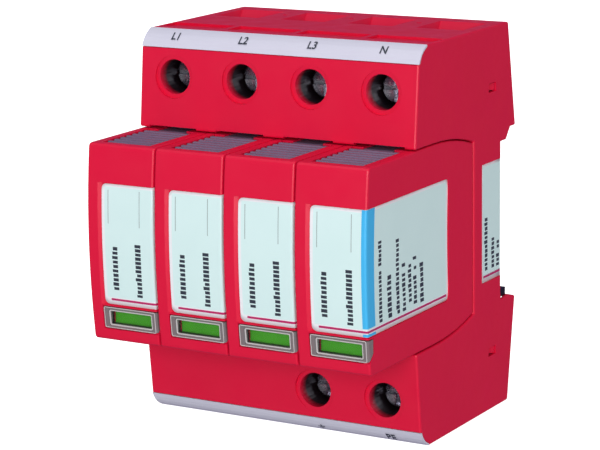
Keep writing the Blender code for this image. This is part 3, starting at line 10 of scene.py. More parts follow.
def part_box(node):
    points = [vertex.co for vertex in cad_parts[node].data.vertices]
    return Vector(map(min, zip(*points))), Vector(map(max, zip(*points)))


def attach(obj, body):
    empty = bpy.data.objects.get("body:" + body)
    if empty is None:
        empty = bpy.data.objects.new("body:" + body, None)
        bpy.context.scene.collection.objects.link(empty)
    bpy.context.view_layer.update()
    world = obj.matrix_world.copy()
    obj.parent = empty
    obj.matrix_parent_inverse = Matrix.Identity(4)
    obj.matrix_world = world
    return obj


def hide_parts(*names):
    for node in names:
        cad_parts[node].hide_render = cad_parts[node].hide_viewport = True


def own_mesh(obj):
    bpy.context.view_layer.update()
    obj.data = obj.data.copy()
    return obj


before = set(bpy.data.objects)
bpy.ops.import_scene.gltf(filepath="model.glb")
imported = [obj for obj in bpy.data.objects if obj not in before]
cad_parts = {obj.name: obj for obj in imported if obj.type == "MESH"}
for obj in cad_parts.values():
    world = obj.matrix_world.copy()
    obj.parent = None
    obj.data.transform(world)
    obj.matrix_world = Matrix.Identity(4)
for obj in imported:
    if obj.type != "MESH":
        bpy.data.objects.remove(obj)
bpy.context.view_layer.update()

MM = 0.001

# Poles, from the CAD parts
POLES = ("L1", "L2", "L3", "NPE")
CASES = {tag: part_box(f"module_case_{tag}") for tag in POLES}
MIDDLES = {tag: (low.x + high.x) / 2 for tag, (low, high) in CASES.items()}
PITCH = MIDDLES["L2"] - MIDDLES["L1"]
HALF_BODY = (CASES["L1"][1].x - CASES["L1"][0].x) / 2
BASE_LOW, BASE_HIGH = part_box("base_housing")
STRIP_LOW, STRIP_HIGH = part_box("marking_strip_upper")

# Bowed front of a module: the depth of its middle, how far its ends fall back, and half its height
FRONT_MIDDLE = CASES["L1"][0].y
FRONT_BULGE = 1.3 * MM
FRONT_HALF = 21.3 * MM

# Screwdriver holes and wire entries of the base
HOLE_HEIGHT = 34.6 * MM
HOLE_RADIUS = 4.0 * MM
ENTRY_HALF = 4.0 * MM
ENTRY_MIDDLE = -7.2 * MM
ENTRY_REACH = 6.8 * MM

# Painted shade down the holes: how far past their wall, and the depths where it starts, is full and ends
HOLE_SHADE_PAST = 0.1 * MM
HOLE_SHADE_START = BASE_LOW.y + 2.2 * MM
HOLE_SHADE_FULL = BASE_LOW.y + 4.4 * MM
HOLE_SHADE_END = BASE_LOW.y + 12.0 * MM

# Painted shade in the wire entries: how soft its sides are, and the heights where it starts, is full and
# ends
ENTRY_SHADE_SOFT = 0.3 * MM
ENTRY_SHADE_START = BASE_HIGH.z - 1.8 * MM
ENTRY_SHADE_FULL = BASE_HIGH.z - 2.1 * MM
ENTRY_SHADE_END = BASE_HIGH.z - 6.0 * MM

# Module label: its film, the recess that it lies in, and the bend round the module's right edge
LABEL_LEFT = 5.0 * MM
LABEL_HALF = 13.75 * MM
LABEL_REAR = 26.9 * MM
LABEL_CORNER = 1.2 * MM
LABEL_SINK = 0.2 * MM
LABEL_THICK = 0.12 * MM
LABEL_BEND = 0.45 * MM
LABEL_FLAT = HALF_BODY - LABEL_SINK - LABEL_BEND + LABEL_LEFT
LABEL_TURN = LABEL_BEND * math.pi / 2
LABEL_FOLDS = [LABEL_FLAT + LABEL_TURN * step / 5 for step in range(6)]
CORNER_SHARES = (0.0, 0.04, 0.15, 0.35, 0.65, 1.0)
FRONT_COLUMNS = 4
SIDE_COLUMNS = 6
LABEL_ROWS = 20

# Print: how far it stands out of the film, the longest step in a field, and a block's share of its pitch
PRINT_LIFT = 0.015 * MM
PRINT_STEP = 1.2 * MM
BLOCK_FILL = 0.84

# Print of a module's label: left end, low and high edge of the foot line and of the tint, the margins at
# their rear ends, the guide lines, and the blue band of the last module
FOOT_LINE = (1.7 * MM, -12.85 * MM, -12.35 * MM)
TINT = (0.75 * MM, -12.1 * MM, 13.1 * MM)
FOOT_LINE_MARGIN = 1.0 * MM
TINT_BEYOND_LINE = 0.2 * MM
GUIDE_LINES = (
    (1.64 * MM, 4.8 * MM, 1.78 * MM, 12.4 * MM),
    (9.94 * MM, 4.5 * MM, 10.08 * MM, 12.6 * MM),
)
BAND_LEFT = LABEL_LEFT + 7.4 * MM
BAND_REAR = 60.9 * MM
BAND_HEIGHTS = ((-11.9 * MM, 13.7 * MM), (-13.7 * MM, -13.1 * MM))

# Sight of a window, as (across from the module's middle, height), its soft edge, and the dish it lies in
SIGHT_LOW = (-3.9 * MM, -18.5 * MM)
SIGHT_HIGH = (7.05 * MM, -15.4 * MM)
SIGHT_EDGE = 0.05 * MM
DISH_MARGIN = 0.3 * MM
DISH_DEPTH = 0.3 * MM
DISH_CORNER = 0.5 * MM

# How opaque a window is: milky round the sight, and clear over it
MILKY_ALPHA = 0.62
CLEAR_ALPHA = 0.03

# Painted shade on the walls behind a window: across from the module's middle, depths and heights
FLAG_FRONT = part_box("indicator_flag_L1")[0].y
SHADED_WELL_ACROSS = (-5.2 * MM, 6.8 * MM)
SHADED_WELL_DEPTHS = (FLAG_FRONT - 2.4 * MM, FLAG_FRONT - 0.05 * MM)
SHADED_WELL_HEIGHTS = (-19.0 * MM, -14.9 * MM)

# Outer bead of a window
WINDOW_LOW = (-5.5 * MM, -19.4 * MM)
WINDOW_HIGH = (8.2 * MM, -14.5 * MM)
WINDOW_CORNER = 0.4 * MM

# Sections of the two beads, as (inset, height) in millimetres; points in a rounded corner; longest straight
DISH_BEAD = ((0.0, -0.02), (0.0, 0.2), (0.07, 0.28), (0.22, 0.28), (0.3, 0.2), (0.3, -0.02))
WINDOW_BEAD = ((0.0, -0.02), (0.03, 0.05), (0.1, 0.08), (0.17, 0.05), (0.2, -0.02))
CORNER_POINTS = 4
BEAD_STEP = 1.0 * MM

# Label on the right side of the base, and its print as (run, height) corners
SIDE_FRONT = 9.85 * MM
SIDE_HALF = 13.85 * MM
SIDE_REAR_GAP = 0.1 * MM
SIDE_CORNER = 0.6 * MM
SIDE_CORNER_SHARES = (0.0, 0.15, 0.5, 1.0)
SIDE_SHARES = (0.4, 0.7, 1.0)
SIDE_FILM_ROWS = 6
BASE_TINT = (0.7 * MM, -12.1 * MM, SIDE_FRONT - 0.15 * MM, 13.2 * MM)
BASE_FOOT_LINE = (1.0 * MM, -12.8 * MM, SIDE_FRONT - 0.2 * MM, -12.3 * MM)

# Marks on the strips: the strip's bulge, letter size, stroke, width, lift, and places from a module's middle
STRIP_BULGE = 0.67 * MM
MARK_SIZE = 2.95 * MM
MARK_STROKE = 0.05 * MM
MARK_WIDTH = 0.85
MARK_LIFT = 0.05 * MM
UPPER_MARK_LEFT = 0.4 * MM
EARTH_LETTERS_RIGHT = 0.7 * MM

# Earth sign: its place, half a line's thickness, top of the stem, first bar, gap of the bars, half lengths
EARTH_RIGHT = 0.6 * MM
EARTH_LINE = 0.11 * MM
EARTH_TOP = 0.9 * MM
EARTH_FIRST = 0.1 * MM
EARTH_GAP = 0.42 * MM
EARTH_BARS = (0.9 * MM, 0.6 * MM, 0.3 * MM)

# Camera that matches the photograph
CAMERA_PLACE = Vector((272.37, -495.4, 118.63)) * MM
CAMERA_AZIMUTH = math.radians(-30.411)
CAMERA_DIP = math.radians(12.351)
CAMERA_ROLL = math.radians(-0.933)
SENSOR_WIDTH = 36.0
LENS = 145.0

# Soft panels: name, place, aim, power; and the world's strength as light and as seen in gloss
PANELS = (
    ("front", (0.42, -1.1, 0.18), (0.0, -0.03, 0.0), 8.6),
    ("top", (-0.1, -0.3, 1.1), (0.0, -0.02, 0.0), 3.3),
    ("right", (1.2, -0.35, 0.15), (0.0, -0.03, 0.0), 2.6),
    ("rear", (-0.5, 1.2, 0.3), (0.0, 0.0, 0.0), 2.6),
)
PANEL_SIZE = 0.6
WORLD_SOFT = (0.40, 0.40, 0.41, 1.0)
WORLD_GLOSS = (0.10, 0.07, 0.20, 1.0)

# Floor, in metres: half its width, its front edge, where it starts to sweep up, radius of the sweep, wall
FLOOR_GAP = 0.02 * MM
FLOOR_REACH = 6.0
FLOOR_FRONT = -6.0
FLOOR_DEPTH = 1.6
SWEEP = 0.6
SWEEP_STEPS = 12
WALL_HEIGHT = 3.0
FLOOR_GLOW = 0.9


# Small tools

def linear(code):
    """A colour given as an sRGB hex value, in the linear numbers that shaders take."""
    parts = [int(code[i:i + 2], 16) / 255 for i in (1, 3, 5)]
    return tuple(p / 12.92 if p <= 0.04045 else ((p + 0.055) / 1.055) ** 2.4 for p in parts) + (1.0,)


def add(tree, kind, settings=None, links=None):
    """Adds a node; settings are its own values, links go from other nodes' outputs to its inputs."""
    made = tree.nodes.new(kind)
    for key, value in (settings or {}).items():
        if isinstance(key, str) and hasattr(made, key):
            setattr(made, key, value)
        else:
            made.inputs[key].default_value = value
    for key, output in (links or {}).items():
        tree.links.new(output, made.inputs[key])
    return made


def new_material(name, colour, roughness, metallic=0.0, **sockets):
    """A Principled material with its uniform values set on the shader itself."""
    made = bpy.data.materials.new(name)
    made.use_nodes = True
    shader = made.node_tree.nodes["Principled BSDF"]
    shader.inputs["Base Color"].default_value = linear(colour)
    shader.inputs["Roughness"].default_value = roughness
    shader.inputs["Metallic"].default_value = metallic
    for key, value in sockets.items():
        shader.inputs[key.replace("_", " ")].default_value = value
    return made, made.node_tree, shader


def grain(tree, shader, size_mm, height_mm, strength):
    """A fine bump from noise of a real grain size. The place node comes back, for what else needs it."""
    place = add(tree, "ShaderNodeTexCoord")
    scale = {"Scale": 1.0 / (size_mm * MM), "Detail": 2.0}
    noise = add(tree, "ShaderNodeTexNoise", scale, {"Vector": place.outputs["Object"]})
    relief = {"Strength": strength, "Distance": height_mm * MM}
    bump = add(tree, "ShaderNodeBump", relief, {"Height": noise.outputs["Fac"]})
    tree.links.new(bump.outputs["Normal"], shader.inputs["Normal"])
    return place


def vary(tree, shader, place, socket, size_mm, low, high):
    """A slow change of one shader value over the surface, between two levels or two colours."""
    scale = {"Scale": 1.0 / (size_mm * MM), "Detail": 3.0}
    cloud = add(tree, "ShaderNodeTexNoise", scale, {"Vector": place.outputs["Object"]})
    if isinstance(low, str):
        tones = {"data_type": "RGBA", 6: linear(low), 7: linear(high)}
        changing = add(tree, "ShaderNodeMix", tones, {0: cloud.outputs["Fac"]}).outputs[2]
    else:
        span = {1: 0.3, 2: 0.7, 3: low, 4: high}
        changing = add(tree, "ShaderNodeMapRange", span, {0: cloud.outputs["Fac"]}).outputs[0]
    tree.links.new(changing, shader.inputs[socket])


def from_middle(tree, axes):
    """How far a point lies to the right of its own module's middle."""
    start = {"operation": "SUBTRACT", 1: MIDDLES["L1"] - PITCH / 2}
    along = add(tree, "ShaderNodeMath", start, {0: axes.outputs["X"]})
    wrapped = add(tree, "ShaderNodeMath", {"operation": "FLOORED_MODULO", 1: PITCH}, {0: along.outputs[0]})
    across = add(tree, "ShaderNodeMath", {"operation": "SUBTRACT", 1: PITCH / 2}, {0: wrapped.outputs[0]})
    return across.outputs[0]


def where_all(tree, masks):
    """The mask of the places that every one of some masks covers."""
    shared = masks[0]
    for mask in masks[1:]:
        shared = add(tree, "ShaderNodeMath", {"operation": "MULTIPLY"}, {0: shared, 1: mask}).outputs[0]
    return shared


# Finishes

def moulded_polyamide(name, colour, deeper, roughness, **sockets):
    """Injection-moulded polyamide: a satin face from the spark-eroded mould, slightly cloudy in tone.
    The mould's grain is about 0.1 mm; it is drawn at 0.25 mm so that it shows."""
    made, tree, shader = new_material(name, colour, roughness, **sockets)
    place = grain(tree, shader, size_mm=0.25, height_mm=0.006, strength=0.5)
    spread = 0.06
    vary(tree, shader, place, "Base Color", 14.0, deeper, colour)
    vary(tree, shader, place, "Roughness", 5.0, roughness - spread, roughness + spread)
    return made


def red_polyamide(name):
    """The red polyamide of base and modules, with what a mask over it needs."""
    made = moulded_polyamide(name, "#e30b3c", "#dd0938", 0.42, Specular_IOR_Level=0.35)
    tree = made.node_tree
    place = add(tree, "ShaderNodeTexCoord")
    axes = add(tree, "ShaderNodeSeparateXYZ", {}, {0: place.outputs["Object"]})
    return made, tree, axes


def paint_shade(made, mask, dark):
    """Paints shade into a material's colour where a mask covers it: painted shade."""
    tree = made.node_tree
    colour = tree.nodes["Principled BSDF"].inputs["Base Color"]
    own = colour.links[0].from_socket
    mix = add(tree, "ShaderNodeMix", {"data_type": "RGBA", 7: linear(dark)}, {0: mask, 6: own})
    tree.links.new(mix.outputs[2], colour)


def housing_polyamide():
    """The base's polyamide. Down the screwdriver holes and in the wire entries it is painted nearly black:
    painted shade for how little light gets down them, to look as dark as the photograph shows them; whether
    the real plastic is also darker there is not known."""
    made, tree, axes = red_polyamide("polyamide_red_housing")
    depth = axes.outputs["Y"]
    aside = add(tree, "ShaderNodeMath", {"operation": "ABSOLUTE"}, {0: from_middle(tree, axes)})
    up = add(tree, "ShaderNodeMath", {"operation": "ABSOLUTE"}, {0: axes.outputs["Z"]})
    off = add(tree, "ShaderNodeMath", {"operation": "SUBTRACT", 1: HOLE_HEIGHT}, {0: up.outputs[0]})
    flat = add(tree, "ShaderNodeCombineXYZ", {}, {"X": aside.outputs[0], "Y": off.outputs[0]})
    from_axis = add(tree, "ShaderNodeVectorMath", {"operation": "LENGTH"}, {0: flat.outputs[0]})
    tests = (
        ("Math", {"operation": "LESS_THAN", 1: HOLE_RADIUS + HOLE_SHADE_PAST}, from_axis.outputs["Value"]),
        ("MapRange", {1: HOLE_SHADE_START, 2: HOLE_SHADE_FULL, 3: 0.0, 4: 1.0}, depth),
        ("Math", {"operation": "LESS_THAN", 1: HOLE_SHADE_END}, depth),
        ("MapRange", {1: ENTRY_HALF, 2: ENTRY_HALF + ENTRY_SHADE_SOFT, 3: 1.0, 4: 0.0}, aside.outputs[0]),
        ("MapRange", {1: ENTRY_SHADE_FULL, 2: ENTRY_SHADE_START, 3: 1.0, 4: 0.0}, up.outputs[0]),
        ("Math", {"operation": "GREATER_THAN", 1: ENTRY_SHADE_END}, up.outputs[0]),
        ("Math", {"operation": "COMPARE", 1: ENTRY_MIDDLE, 2: ENTRY_REACH}, depth),
    )
    masks = [add(tree, f"ShaderNode{kind}", test, {0: value}).outputs[0] for kind, test, value in tests]
    in_hole = where_all(tree, masks[:3])
    in_entry = where_all(tree, masks[3:])
    shaded = add(tree, "ShaderNodeMath", {"operation": "MAXIMUM"}, {0: in_hole, 1: in_entry})
    # Painted shade: the walls down the holes and wire entries go nearly black.
    paint_shade(made, shaded.outputs[0], "#12040a")
    return made


def case_polyamide():
    """The modules' polyamide. The walls of the sight behind each window are painted nearly black: painted
    shade for the deep well round the flag, to look as dark as the photograph shows them; whether the real
    plastic is also darker there is not known."""
    made, tree, axes = red_polyamide("polyamide_red_case")
    spans = (
        (from_middle(tree, axes), SHADED_WELL_ACROSS),
        (axes.outputs["Y"], SHADED_WELL_DEPTHS),
        (axes.outputs["Z"], SHADED_WELL_HEIGHTS),
    )
    masks = []
    for value, (low, high) in spans:
        within = {"operation": "COMPARE", 1: (low + high) / 2, 2: (high - low) / 2}
        masks.append(add(tree, "ShaderNodeMath", within, {0: value}).outputs[0])
    # Painted shade: the walls of the well behind the window go nearly black.
    paint_shade(made, where_all(tree, masks), "#160a10")
    return made


def zinc_plated_steel():
    """Zinc-plated steel: bright blue-white plating over turned or stamped steel, a little cloudy."""
    made, tree, shader = new_material("zinc_plated_steel_turned", "#8e8d95", 0.26, metallic=1.0)
    place = grain(tree, shader, size_mm=1.6, height_mm=0.05, strength=0.6)
    vary(tree, shader, place, "Roughness", 1.2, 0.18, 0.36)
    vary(tree, shader, place, "Base Color", 1.8, "#7d7c86", "#cac8d2")
    return made


def nickel_plated_copper():
    """Nickel-plated copper strip: warm grey metal with fine rolling lines. The noise is 2 mm long and is
    pressed together from side to side, so that the lines run up and back."""
    made, tree, shader = new_material("nickel_plated_copper_rolled", "#c4b9a6", 0.28, metallic=1.0)
    place = add(tree, "ShaderNodeTexCoord")
    pressed = add(tree, "ShaderNodeMapping", {"Scale": (9.0, 1.0, 1.0)}, {"Vector": place.outputs["Object"]})
    scale = {"Scale": 1.0 / (2.0 * MM), "Detail": 2.0}
    lines = add(tree, "ShaderNodeTexNoise", scale, {"Vector": pressed.outputs["Vector"]})
    relief = {"Strength": 0.4, "Distance": 0.01 * MM}
    bump = add(tree, "ShaderNodeBump", relief, {"Height": lines.outputs["Fac"]})
    tree.links.new(bump.outputs["Normal"], shader.inputs["Normal"])
    vary(tree, shader, place, "Roughness", 3.0, 0.2, 0.36)
    return made


def spring_wire():
    """Drawn spring wire: dark bright steel, faintly uneven from the drawing die."""
    made, tree, shader = new_material("spring_steel_drawn", "#8f9094", 0.26, metallic=1.0)
    place = grain(tree, shader, size_mm=0.15, height_mm=0.004, strength=0.5)
    vary(tree, shader, place, "Roughness", 1.0, 0.2, 0.34)
    return made


def clear_polycarbonate():
    """Clear moulded polycarbonate: glossy and faintly wavy, see-through over the sight, where the flag
    shows, and milky round it."""
    made, tree, shader = new_material("polycarbonate_clear_moulded", "#928c8e", 0.14)
    place = grain(tree, shader, size_mm=1.4, height_mm=0.01, strength=0.5)
    vary(tree, shader, place, "Roughness", 3.0, 0.1, 0.24)
    axes = add(tree, "ShaderNodeSeparateXYZ", {}, {0: place.outputs["Object"]})
    masks = []
    values = (from_middle(tree, axes), axes.outputs["Z"])
    for value, low, high in zip(values, SIGHT_LOW, SIGHT_HIGH):
        half = (high - low) / 2
        off = add(tree, "ShaderNodeMath", {"operation": "SUBTRACT", 1: (low + high) / 2}, {0: value})
        away = add(tree, "ShaderNodeMath", {"operation": "ABSOLUTE"}, {0: off.outputs[0]})
        edge = {1: half - SIGHT_EDGE, 2: half + SIGHT_EDGE, 3: 1.0, 4: 0.0}
        masks.append(add(tree, "ShaderNodeMapRange", edge, {0: away.outputs[0]}).outputs[0])
    levels = {1: 0.0, 2: 1.0, 3: MILKY_ALPHA, 4: CLEAR_ALPHA}
    solid = add(tree, "ShaderNodeMapRange", levels, {0: where_all(tree, masks)})
    tree.links.new(solid.outputs[0], shader.inputs["Alpha"])
    return made


def bead_painted_highlight():
    """The polycarbonate of the window's beads, coloured nearly white as a painted highlight for the light
    that their polished edges gather.
    """
    # Painted highlight: the beads are coloured nearly white.
    made, tree, shader = new_material("polycarbonate_bead_painted_highlight", "#d8d2d2", 0.12, Alpha=0.85)
    place = grain(tree, shader, size_mm=0.8, height_mm=0.01, strength=0.4)
    vary(tree, shader, place, "Roughness", 2.0, 0.08, 0.2)
    return made


def signal_green():
    """Bright green polystyrene flag, matt so that it reads from every side."""
    made, tree, shader = new_material("polystyrene_green_matt", "#45b414", 0.5)
    place = grain(tree, shader, size_mm=0.3, height_mm=0.01, strength=0.4)
    vary(tree, shader, place, "Base Color", 4.0, "#3ea812", "#4cbd18")
    return made


def dipped_epoxy():
    """Blue dipped epoxy on the varistor: an uneven glossy coat with small sags."""
    made, tree, shader = new_material("epoxy_blue_dipped", "#2a5c97", 0.3)
    place = grain(tree, shader, size_mm=3.0, height_mm=0.15, strength=0.8)
    vary(tree, shader, place, "Base Color", 5.0, "#234f86", "#3067a6")
    return made


def unglazed_ceramic():
    """Unglazed alumina of the spark gap: chalky, with a fine tooth."""
    made, tree, shader = new_material("alumina_unglazed", "#dedbd2", 0.7)
    place = grain(tree, shader, size_mm=0.2, height_mm=0.02, strength=0.6)
    vary(tree, shader, place, "Base Color", 3.0, "#d5d1c6", "#e4e1da")
    return made


def printed_film(name, colour, deeper):
    """Printed polyester film: smooth, with the faint orange peel of its adhesive showing through."""
    made, tree, shader = new_material(name, colour, 0.34)
    place = grain(tree, shader, size_mm=1.2, height_mm=0.01, strength=0.35)
    vary(tree, shader, place, "Base Color", 9.0, deeper, colour)
    return made


FINISHES = {
    "housing": housing_polyamide(),
    "case": case_polyamide(),
    "red_inside": moulded_polyamide("polyamide_red_inside", "#c81238", "#bc0f32", 0.5),
    "grip": moulded_polyamide("polyamide_grey_ribbed", "#7c6682", "#6f5b76", 0.45),
    "black": moulded_polyamide("polyamide_black_moulded", "#1c1c1e", "#151517", 0.42),
    "strip": printed_film("polyester_film_white", "#d6d5e4", "#cfcedf"),
    "label": printed_film("label_film_white", "#f3f3f8", "#ecedf3"),
    "field": printed_film("print_pale_blue_green", "#dcf4f3", "#d5efee"),
    "blue": printed_film("print_blue", "#45bdf5", "#3fb6ef"),
    "magenta": printed_film("print_magenta", "#c4286a", "#bb2463"),
    "grey_line": printed_film("print_grey", "#8d9698", "#848d90"),
    "dark": printed_film("print_dark", "#39404a", "#323943"),
    "zinc": zinc_plated_steel(),
    "copper": nickel_plated_copper(),
    "wire": spring_wire(),
    "clear": clear_polycarbonate(),
    # The beads' finish: nearly white, a painted highlight.
    "edge": bead_painted_highlight(),
    "green": signal_green(),
    "epoxy": dipped_epoxy(),
    "ceramic": unglazed_ceramic(),
}

# How a node's name starts, and its finish
NODE_FINISHES = (
    ("base_housing", "housing"),
    ("rear_cover", "housing"),
    ("marking_strip", "strip"),
    ("rail_foot", "black"),
    ("foot_spring", "wire"),
    ("terminal_screw", "zinc"),
    ("clamp_cage", "zinc"),
    ("contact_bar", "copper"),
    ("neutral_bar", "copper"),
    ("earth_bar", "copper"),
    ("signal", "black"),
    ("module_case", "case"),
    ("module_window", "clear"),
    ("module_plug_base", "red_inside"),
    ("upper_blade", "copper"),
    ("varistor", "epoxy"),
    ("spark_gap", "ceramic"),
    ("indicator_flag", "green"),
    ("upper_latch", "grip"),
    ("lower_latch", "grip"),
)


def finish_nodes():
    """Every CAD node takes the finish of what it is made of."""
    for name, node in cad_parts.items():
        finish = next(value for start, value in NODE_FINISHES if name.startswith(start))
        for slot in node.material_slots:
            slot.material = FINISHES[finish]


# Surfaces that the print follows

def front_depth(z):
    """Where the bowed front of a module stands at a height."""
    return FRONT_MIDDLE + FRONT_BULGE * (z / FRONT_HALF) ** 2


def on_module(middle, lift):
    """Maps (run, z) to a module: run counts along the front from the label's left end, then round the
    right-hand edge on to its side. lift is how far the surface stands out of the label's face."""
    flat = LABEL_FLAT + lift

    def place(run, z):
        front = front_depth(z) + LABEL_SINK - lift
        if run <= flat:
            return Vector((middle - LABEL_LEFT + run, front, z))
        if run <= flat + LABEL_TURN:
            angle = (run - flat) / LABEL_BEND
            x = -LABEL_LEFT + flat + LABEL_BEND * math.sin(angle)
            return Vector((middle + x, front + LABEL_BEND * (1 - math.cos(angle)), z))
        x = -LABEL_LEFT + flat + LABEL_BEND
        return Vector((middle + x, front + LABEL_BEND + run - flat - LABEL_TURN, z))

    return place


def run_of_side(depth):
    """The run at which a point of the side lies at mid height, given its depth in front of the rail."""
    return LABEL_FLAT + LABEL_TURN - depth - (FRONT_MIDDLE + LABEL_SINK + LABEL_BEND)


def on_base_side(lift):
    """Maps (run, z) to the base's right side: run counts rearwards from the label's front end."""

    def place(run, z):
        return Vector((BASE_HIGH.x - LABEL_SINK + lift, -SIDE_FRONT + run, z))

    return place


def on_strip(side, lift):
    """Maps (x, climb) to a marking strip: climb counts along its arc from the middle of the arc. side is 1
    for the upper strip and -1 for the lower one."""
    low = Vector((0.0, STRIP_LOW.y, STRIP_LOW.z))
    high = Vector((0.0, STRIP_HIGH.y, STRIP_HIGH.z))
    chord = high - low
    out = Vector((0.0, -chord.z, chord.y)).normalized()

    def place(x, climb):
        share = 0.5 + climb / chord.length
        point = low + chord * share + out * (4 * STRIP_BULGE * share * (1 - share) + lift)
        return Vector((x, point.y, side * point.z))

    return place


# Pieces

def object_from(name, shape, finish):
    """A finished piece from a bmesh, linked into the scene."""
    mesh = bpy.data.meshes.new(name)
    shape.to_mesh(mesh)
    shape.free()
    mesh.materials.append(FINISHES[finish])
    made = bpy.data.objects.new(name, mesh)
    bpy.context.scene.collection.objects.link(made)
    return made


def plain_mesh(holder):
    """The evaluated shape of a helper object as a plain mesh; the helper goes."""
    bpy.context.scene.collection.objects.link(holder)
    mesh = bpy.data.meshes.new_from_object(holder.evaluated_get(bpy.context.evaluated_depsgraph_get()))
    bpy.data.objects.remove(holder, do_unlink=True)
    return mesh


def skin(shape, grid):
    """Faces between the neighbouring columns of a grid of points."""
    for left, right in zip(grid, grid[1:]):
        for row in range(len(left) - 1):
            shape.faces.new((left[row], right[row], right[row + 1], left[row + 1]))


def label_film(name, place, columns, half_at, rows):
    """A thin film over a mapped surface: columns are runs, half_at gives half its height at a run."""
    shape = bmesh.new()
    grid = []
    for run in columns:
        half = half_at(run)
        grid.append([shape.verts.new(place(run, half * (2 * row / rows - 1))) for row in range(rows + 1)])
    skin(shape, grid)
    made = object_from(name, shape, "label")
    solid = made.modifiers.new("film", "SOLIDIFY")
    solid.thickness = LABEL_THICK
    solid.offset = -1.0
    made.data.shade_smooth()
    made.data.set_sharp_from_angle(angle=math.radians(50))
    return made


def corner_drop(distance, radius):
    """How much lower the edge lies at a distance from a rounded corner's end."""
    if distance >= radius:
        return 0.0
    return radius - math.sqrt(max(0.0, radius ** 2 - (radius - distance) ** 2))


def module_label(tag):
    """The pale film on a module's front and right side."""
    end = run_of_side(LABEL_REAR)
    start = LABEL_FLAT + LABEL_TURN
    ends = [LABEL_CORNER * share for share in CORNER_SHARES]
    front = LABEL_FLAT - LABEL_CORNER
    side = end - LABEL_CORNER - start
    columns = ends + [LABEL_CORNER + front * step / FRONT_COLUMNS for step in range(1, FRONT_COLUMNS + 1)]
    columns += LABEL_FOLDS[1:]
    columns += [start + side * step / SIDE_COLUMNS for step in range(1, SIDE_COLUMNS + 1)]
    columns += [end - run for run in ends[::-1][1:]]

    def half_at(run):
        return LABEL_HALF - corner_drop(min(run, end - run), LABEL_CORNER)

    label = label_film(f"module_label_{tag}", on_module(MIDDLES[tag], 0.0), columns, half_at, LABEL_ROWS)
    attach(label, f"module_{tag}")


def side_label():
    """The pale film on the base's right side; its rear edge is cut off straight."""
    end = SIDE_FRONT - SIDE_REAR_GAP
    columns = [SIDE_CORNER * share for share in SIDE_CORNER_SHARES] + [end * share for share in SIDE_SHARES]

    def half_at(run):
        return SIDE_HALF - corner_drop(run, SIDE_CORNER)

    label = label_film("base_side_label", on_base_side(0.0), columns, half_at, SIDE_FILM_ROWS)
    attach(label, "base")


def evenly(start, end):
    """Values from start to end in equal steps, none longer than the print's step."""
    count = max(1, math.ceil((end - start) / PRINT_STEP))
    return [start + (end - start) * at / count for at in range(count + 1)]


def patches(name, place, fields, finish, body, folds=()):
    """Flat fields of one printed colour: each is (run0, z0, run1, z1) on a mapped surface. folds are the
    runs at which the surface turns, where a field needs a cut."""
    shape = bmesh.new()
    for run0, z0, run1, z1 in fields:
        runs = sorted(evenly(run0, run1) + [run for run in folds if run0 < run < run1])
        heights = evenly(z0, z1)
        skin(shape, [[shape.verts.new(place(run, z)) for z in heights] for run in runs])
    made = object_from(name, shape, finish)
    made.data.shade_smooth()
    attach(made, body)


def word_row_tree():
    """A row of small printed blocks of one pitch and uneven size, with a few cells left empty."""
    tree = bpy.data.node_groups.new("word_row", "GeometryNodeTree")
    tree.interface.new_socket("Geometry", in_out="OUTPUT", socket_type="NodeSocketGeometry")
    kinds = (("Count", "Int"), ("Pitch", "Float"), ("Height", "Float"), ("Seed", "Int"), ("Ink", "Material"))
    for name, kind in kinds:
        tree.interface.new_socket(name, in_out="INPUT", socket_type=f"NodeSocket{kind}")
    given = add(tree, "NodeGroupInput").outputs
    step = add(tree, "ShaderNodeCombineXYZ", {}, {"X": given["Pitch"]})
    cells = add(tree, "GeometryNodeMeshLine", {}, {"Count": given["Count"], "Offset": step.outputs[0]})
    width = add(tree, "ShaderNodeMath", {"operation": "MULTIPLY", 1: BLOCK_FILL}, {0: given["Pitch"]})
    corners = {"Vertices X": 2, "Vertices Y": 2}
    sides = {"Size X": width.outputs[0], "Size Y": given["Height"]}
    block = add(tree, "GeometryNodeMeshGrid", corners, sides)
    half = add(tree, "ShaderNodeMath", {"operation": "MULTIPLY", 1: 0.5}, {0: given["Height"]})
    rise = add(tree, "ShaderNodeCombineXYZ", {}, {"Y": half.outputs[0]})
    lifted = {"Geometry": block.outputs["Mesh"], "Translation": rise.outputs[0]}
    raised = add(tree, "GeometryNodeTransform", {}, lifted)
    seed = {"Seed": given["Seed"]}
    sizes = {"data_type": "FLOAT_VECTOR", 0: (0.72, 0.7, 1.0), 1: (1.0, 1.0, 1.0)}
    size = add(tree, "FunctionNodeRandomValue", sizes, seed)
    kept = add(tree, "FunctionNodeRandomValue", {"data_type": "BOOLEAN", "Probability": 0.94}, seed)
    spread = add(tree, "GeometryNodeInstanceOnPoints", {}, {
        "Points": cells.outputs["Mesh"],
        "Instance": raised.outputs[0],
        "Scale": size.outputs[0],
        "Selection": kept.outputs[3],
    })
    real = add(tree, "GeometryNodeRealizeInstances", {}, {0: spread.outputs[0]})
    inked = add(tree, "GeometryNodeSetMaterial", {}, {"Geometry": real.outputs[0], "Material": given["Ink"]})
    add(tree, "NodeGroupOutput", {}, {"Geometry": inked.outputs[0]})
    return tree


WORD_ROW = word_row_tree()


def word_rows(name, place, rows, body):
    """Rows of blocks that read upwards; a row is (run of its foot, z0, z1, height, pitch, seed)."""
    shape = bmesh.new()
    for run, z0, z1, height, pitch, seed in rows:
        holder = bpy.data.objects.new("row", bpy.data.meshes.new("row"))
        nodes = holder.modifiers.new("words", "NODES")
        nodes.node_group = WORD_ROW
        values = {
            "Count": round((z1 - z0) / pitch),
            "Pitch": pitch,
            "Height": height,
            "Seed": seed,
            "Ink": FINISHES["dark"],
        }
        for item in WORD_ROW.interface.items_tree:
            if item.in_out == "INPUT":
                nodes[item.identifier] = values[item.name]
        row = plain_mesh(holder)
        for vertex in row.vertices:
            vertex.co = place(run - vertex.co.y, z0 + pitch / 2 + vertex.co.x)
        shape.from_mesh(row)
    made = object_from(name, shape, "dark")
    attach(made, body)


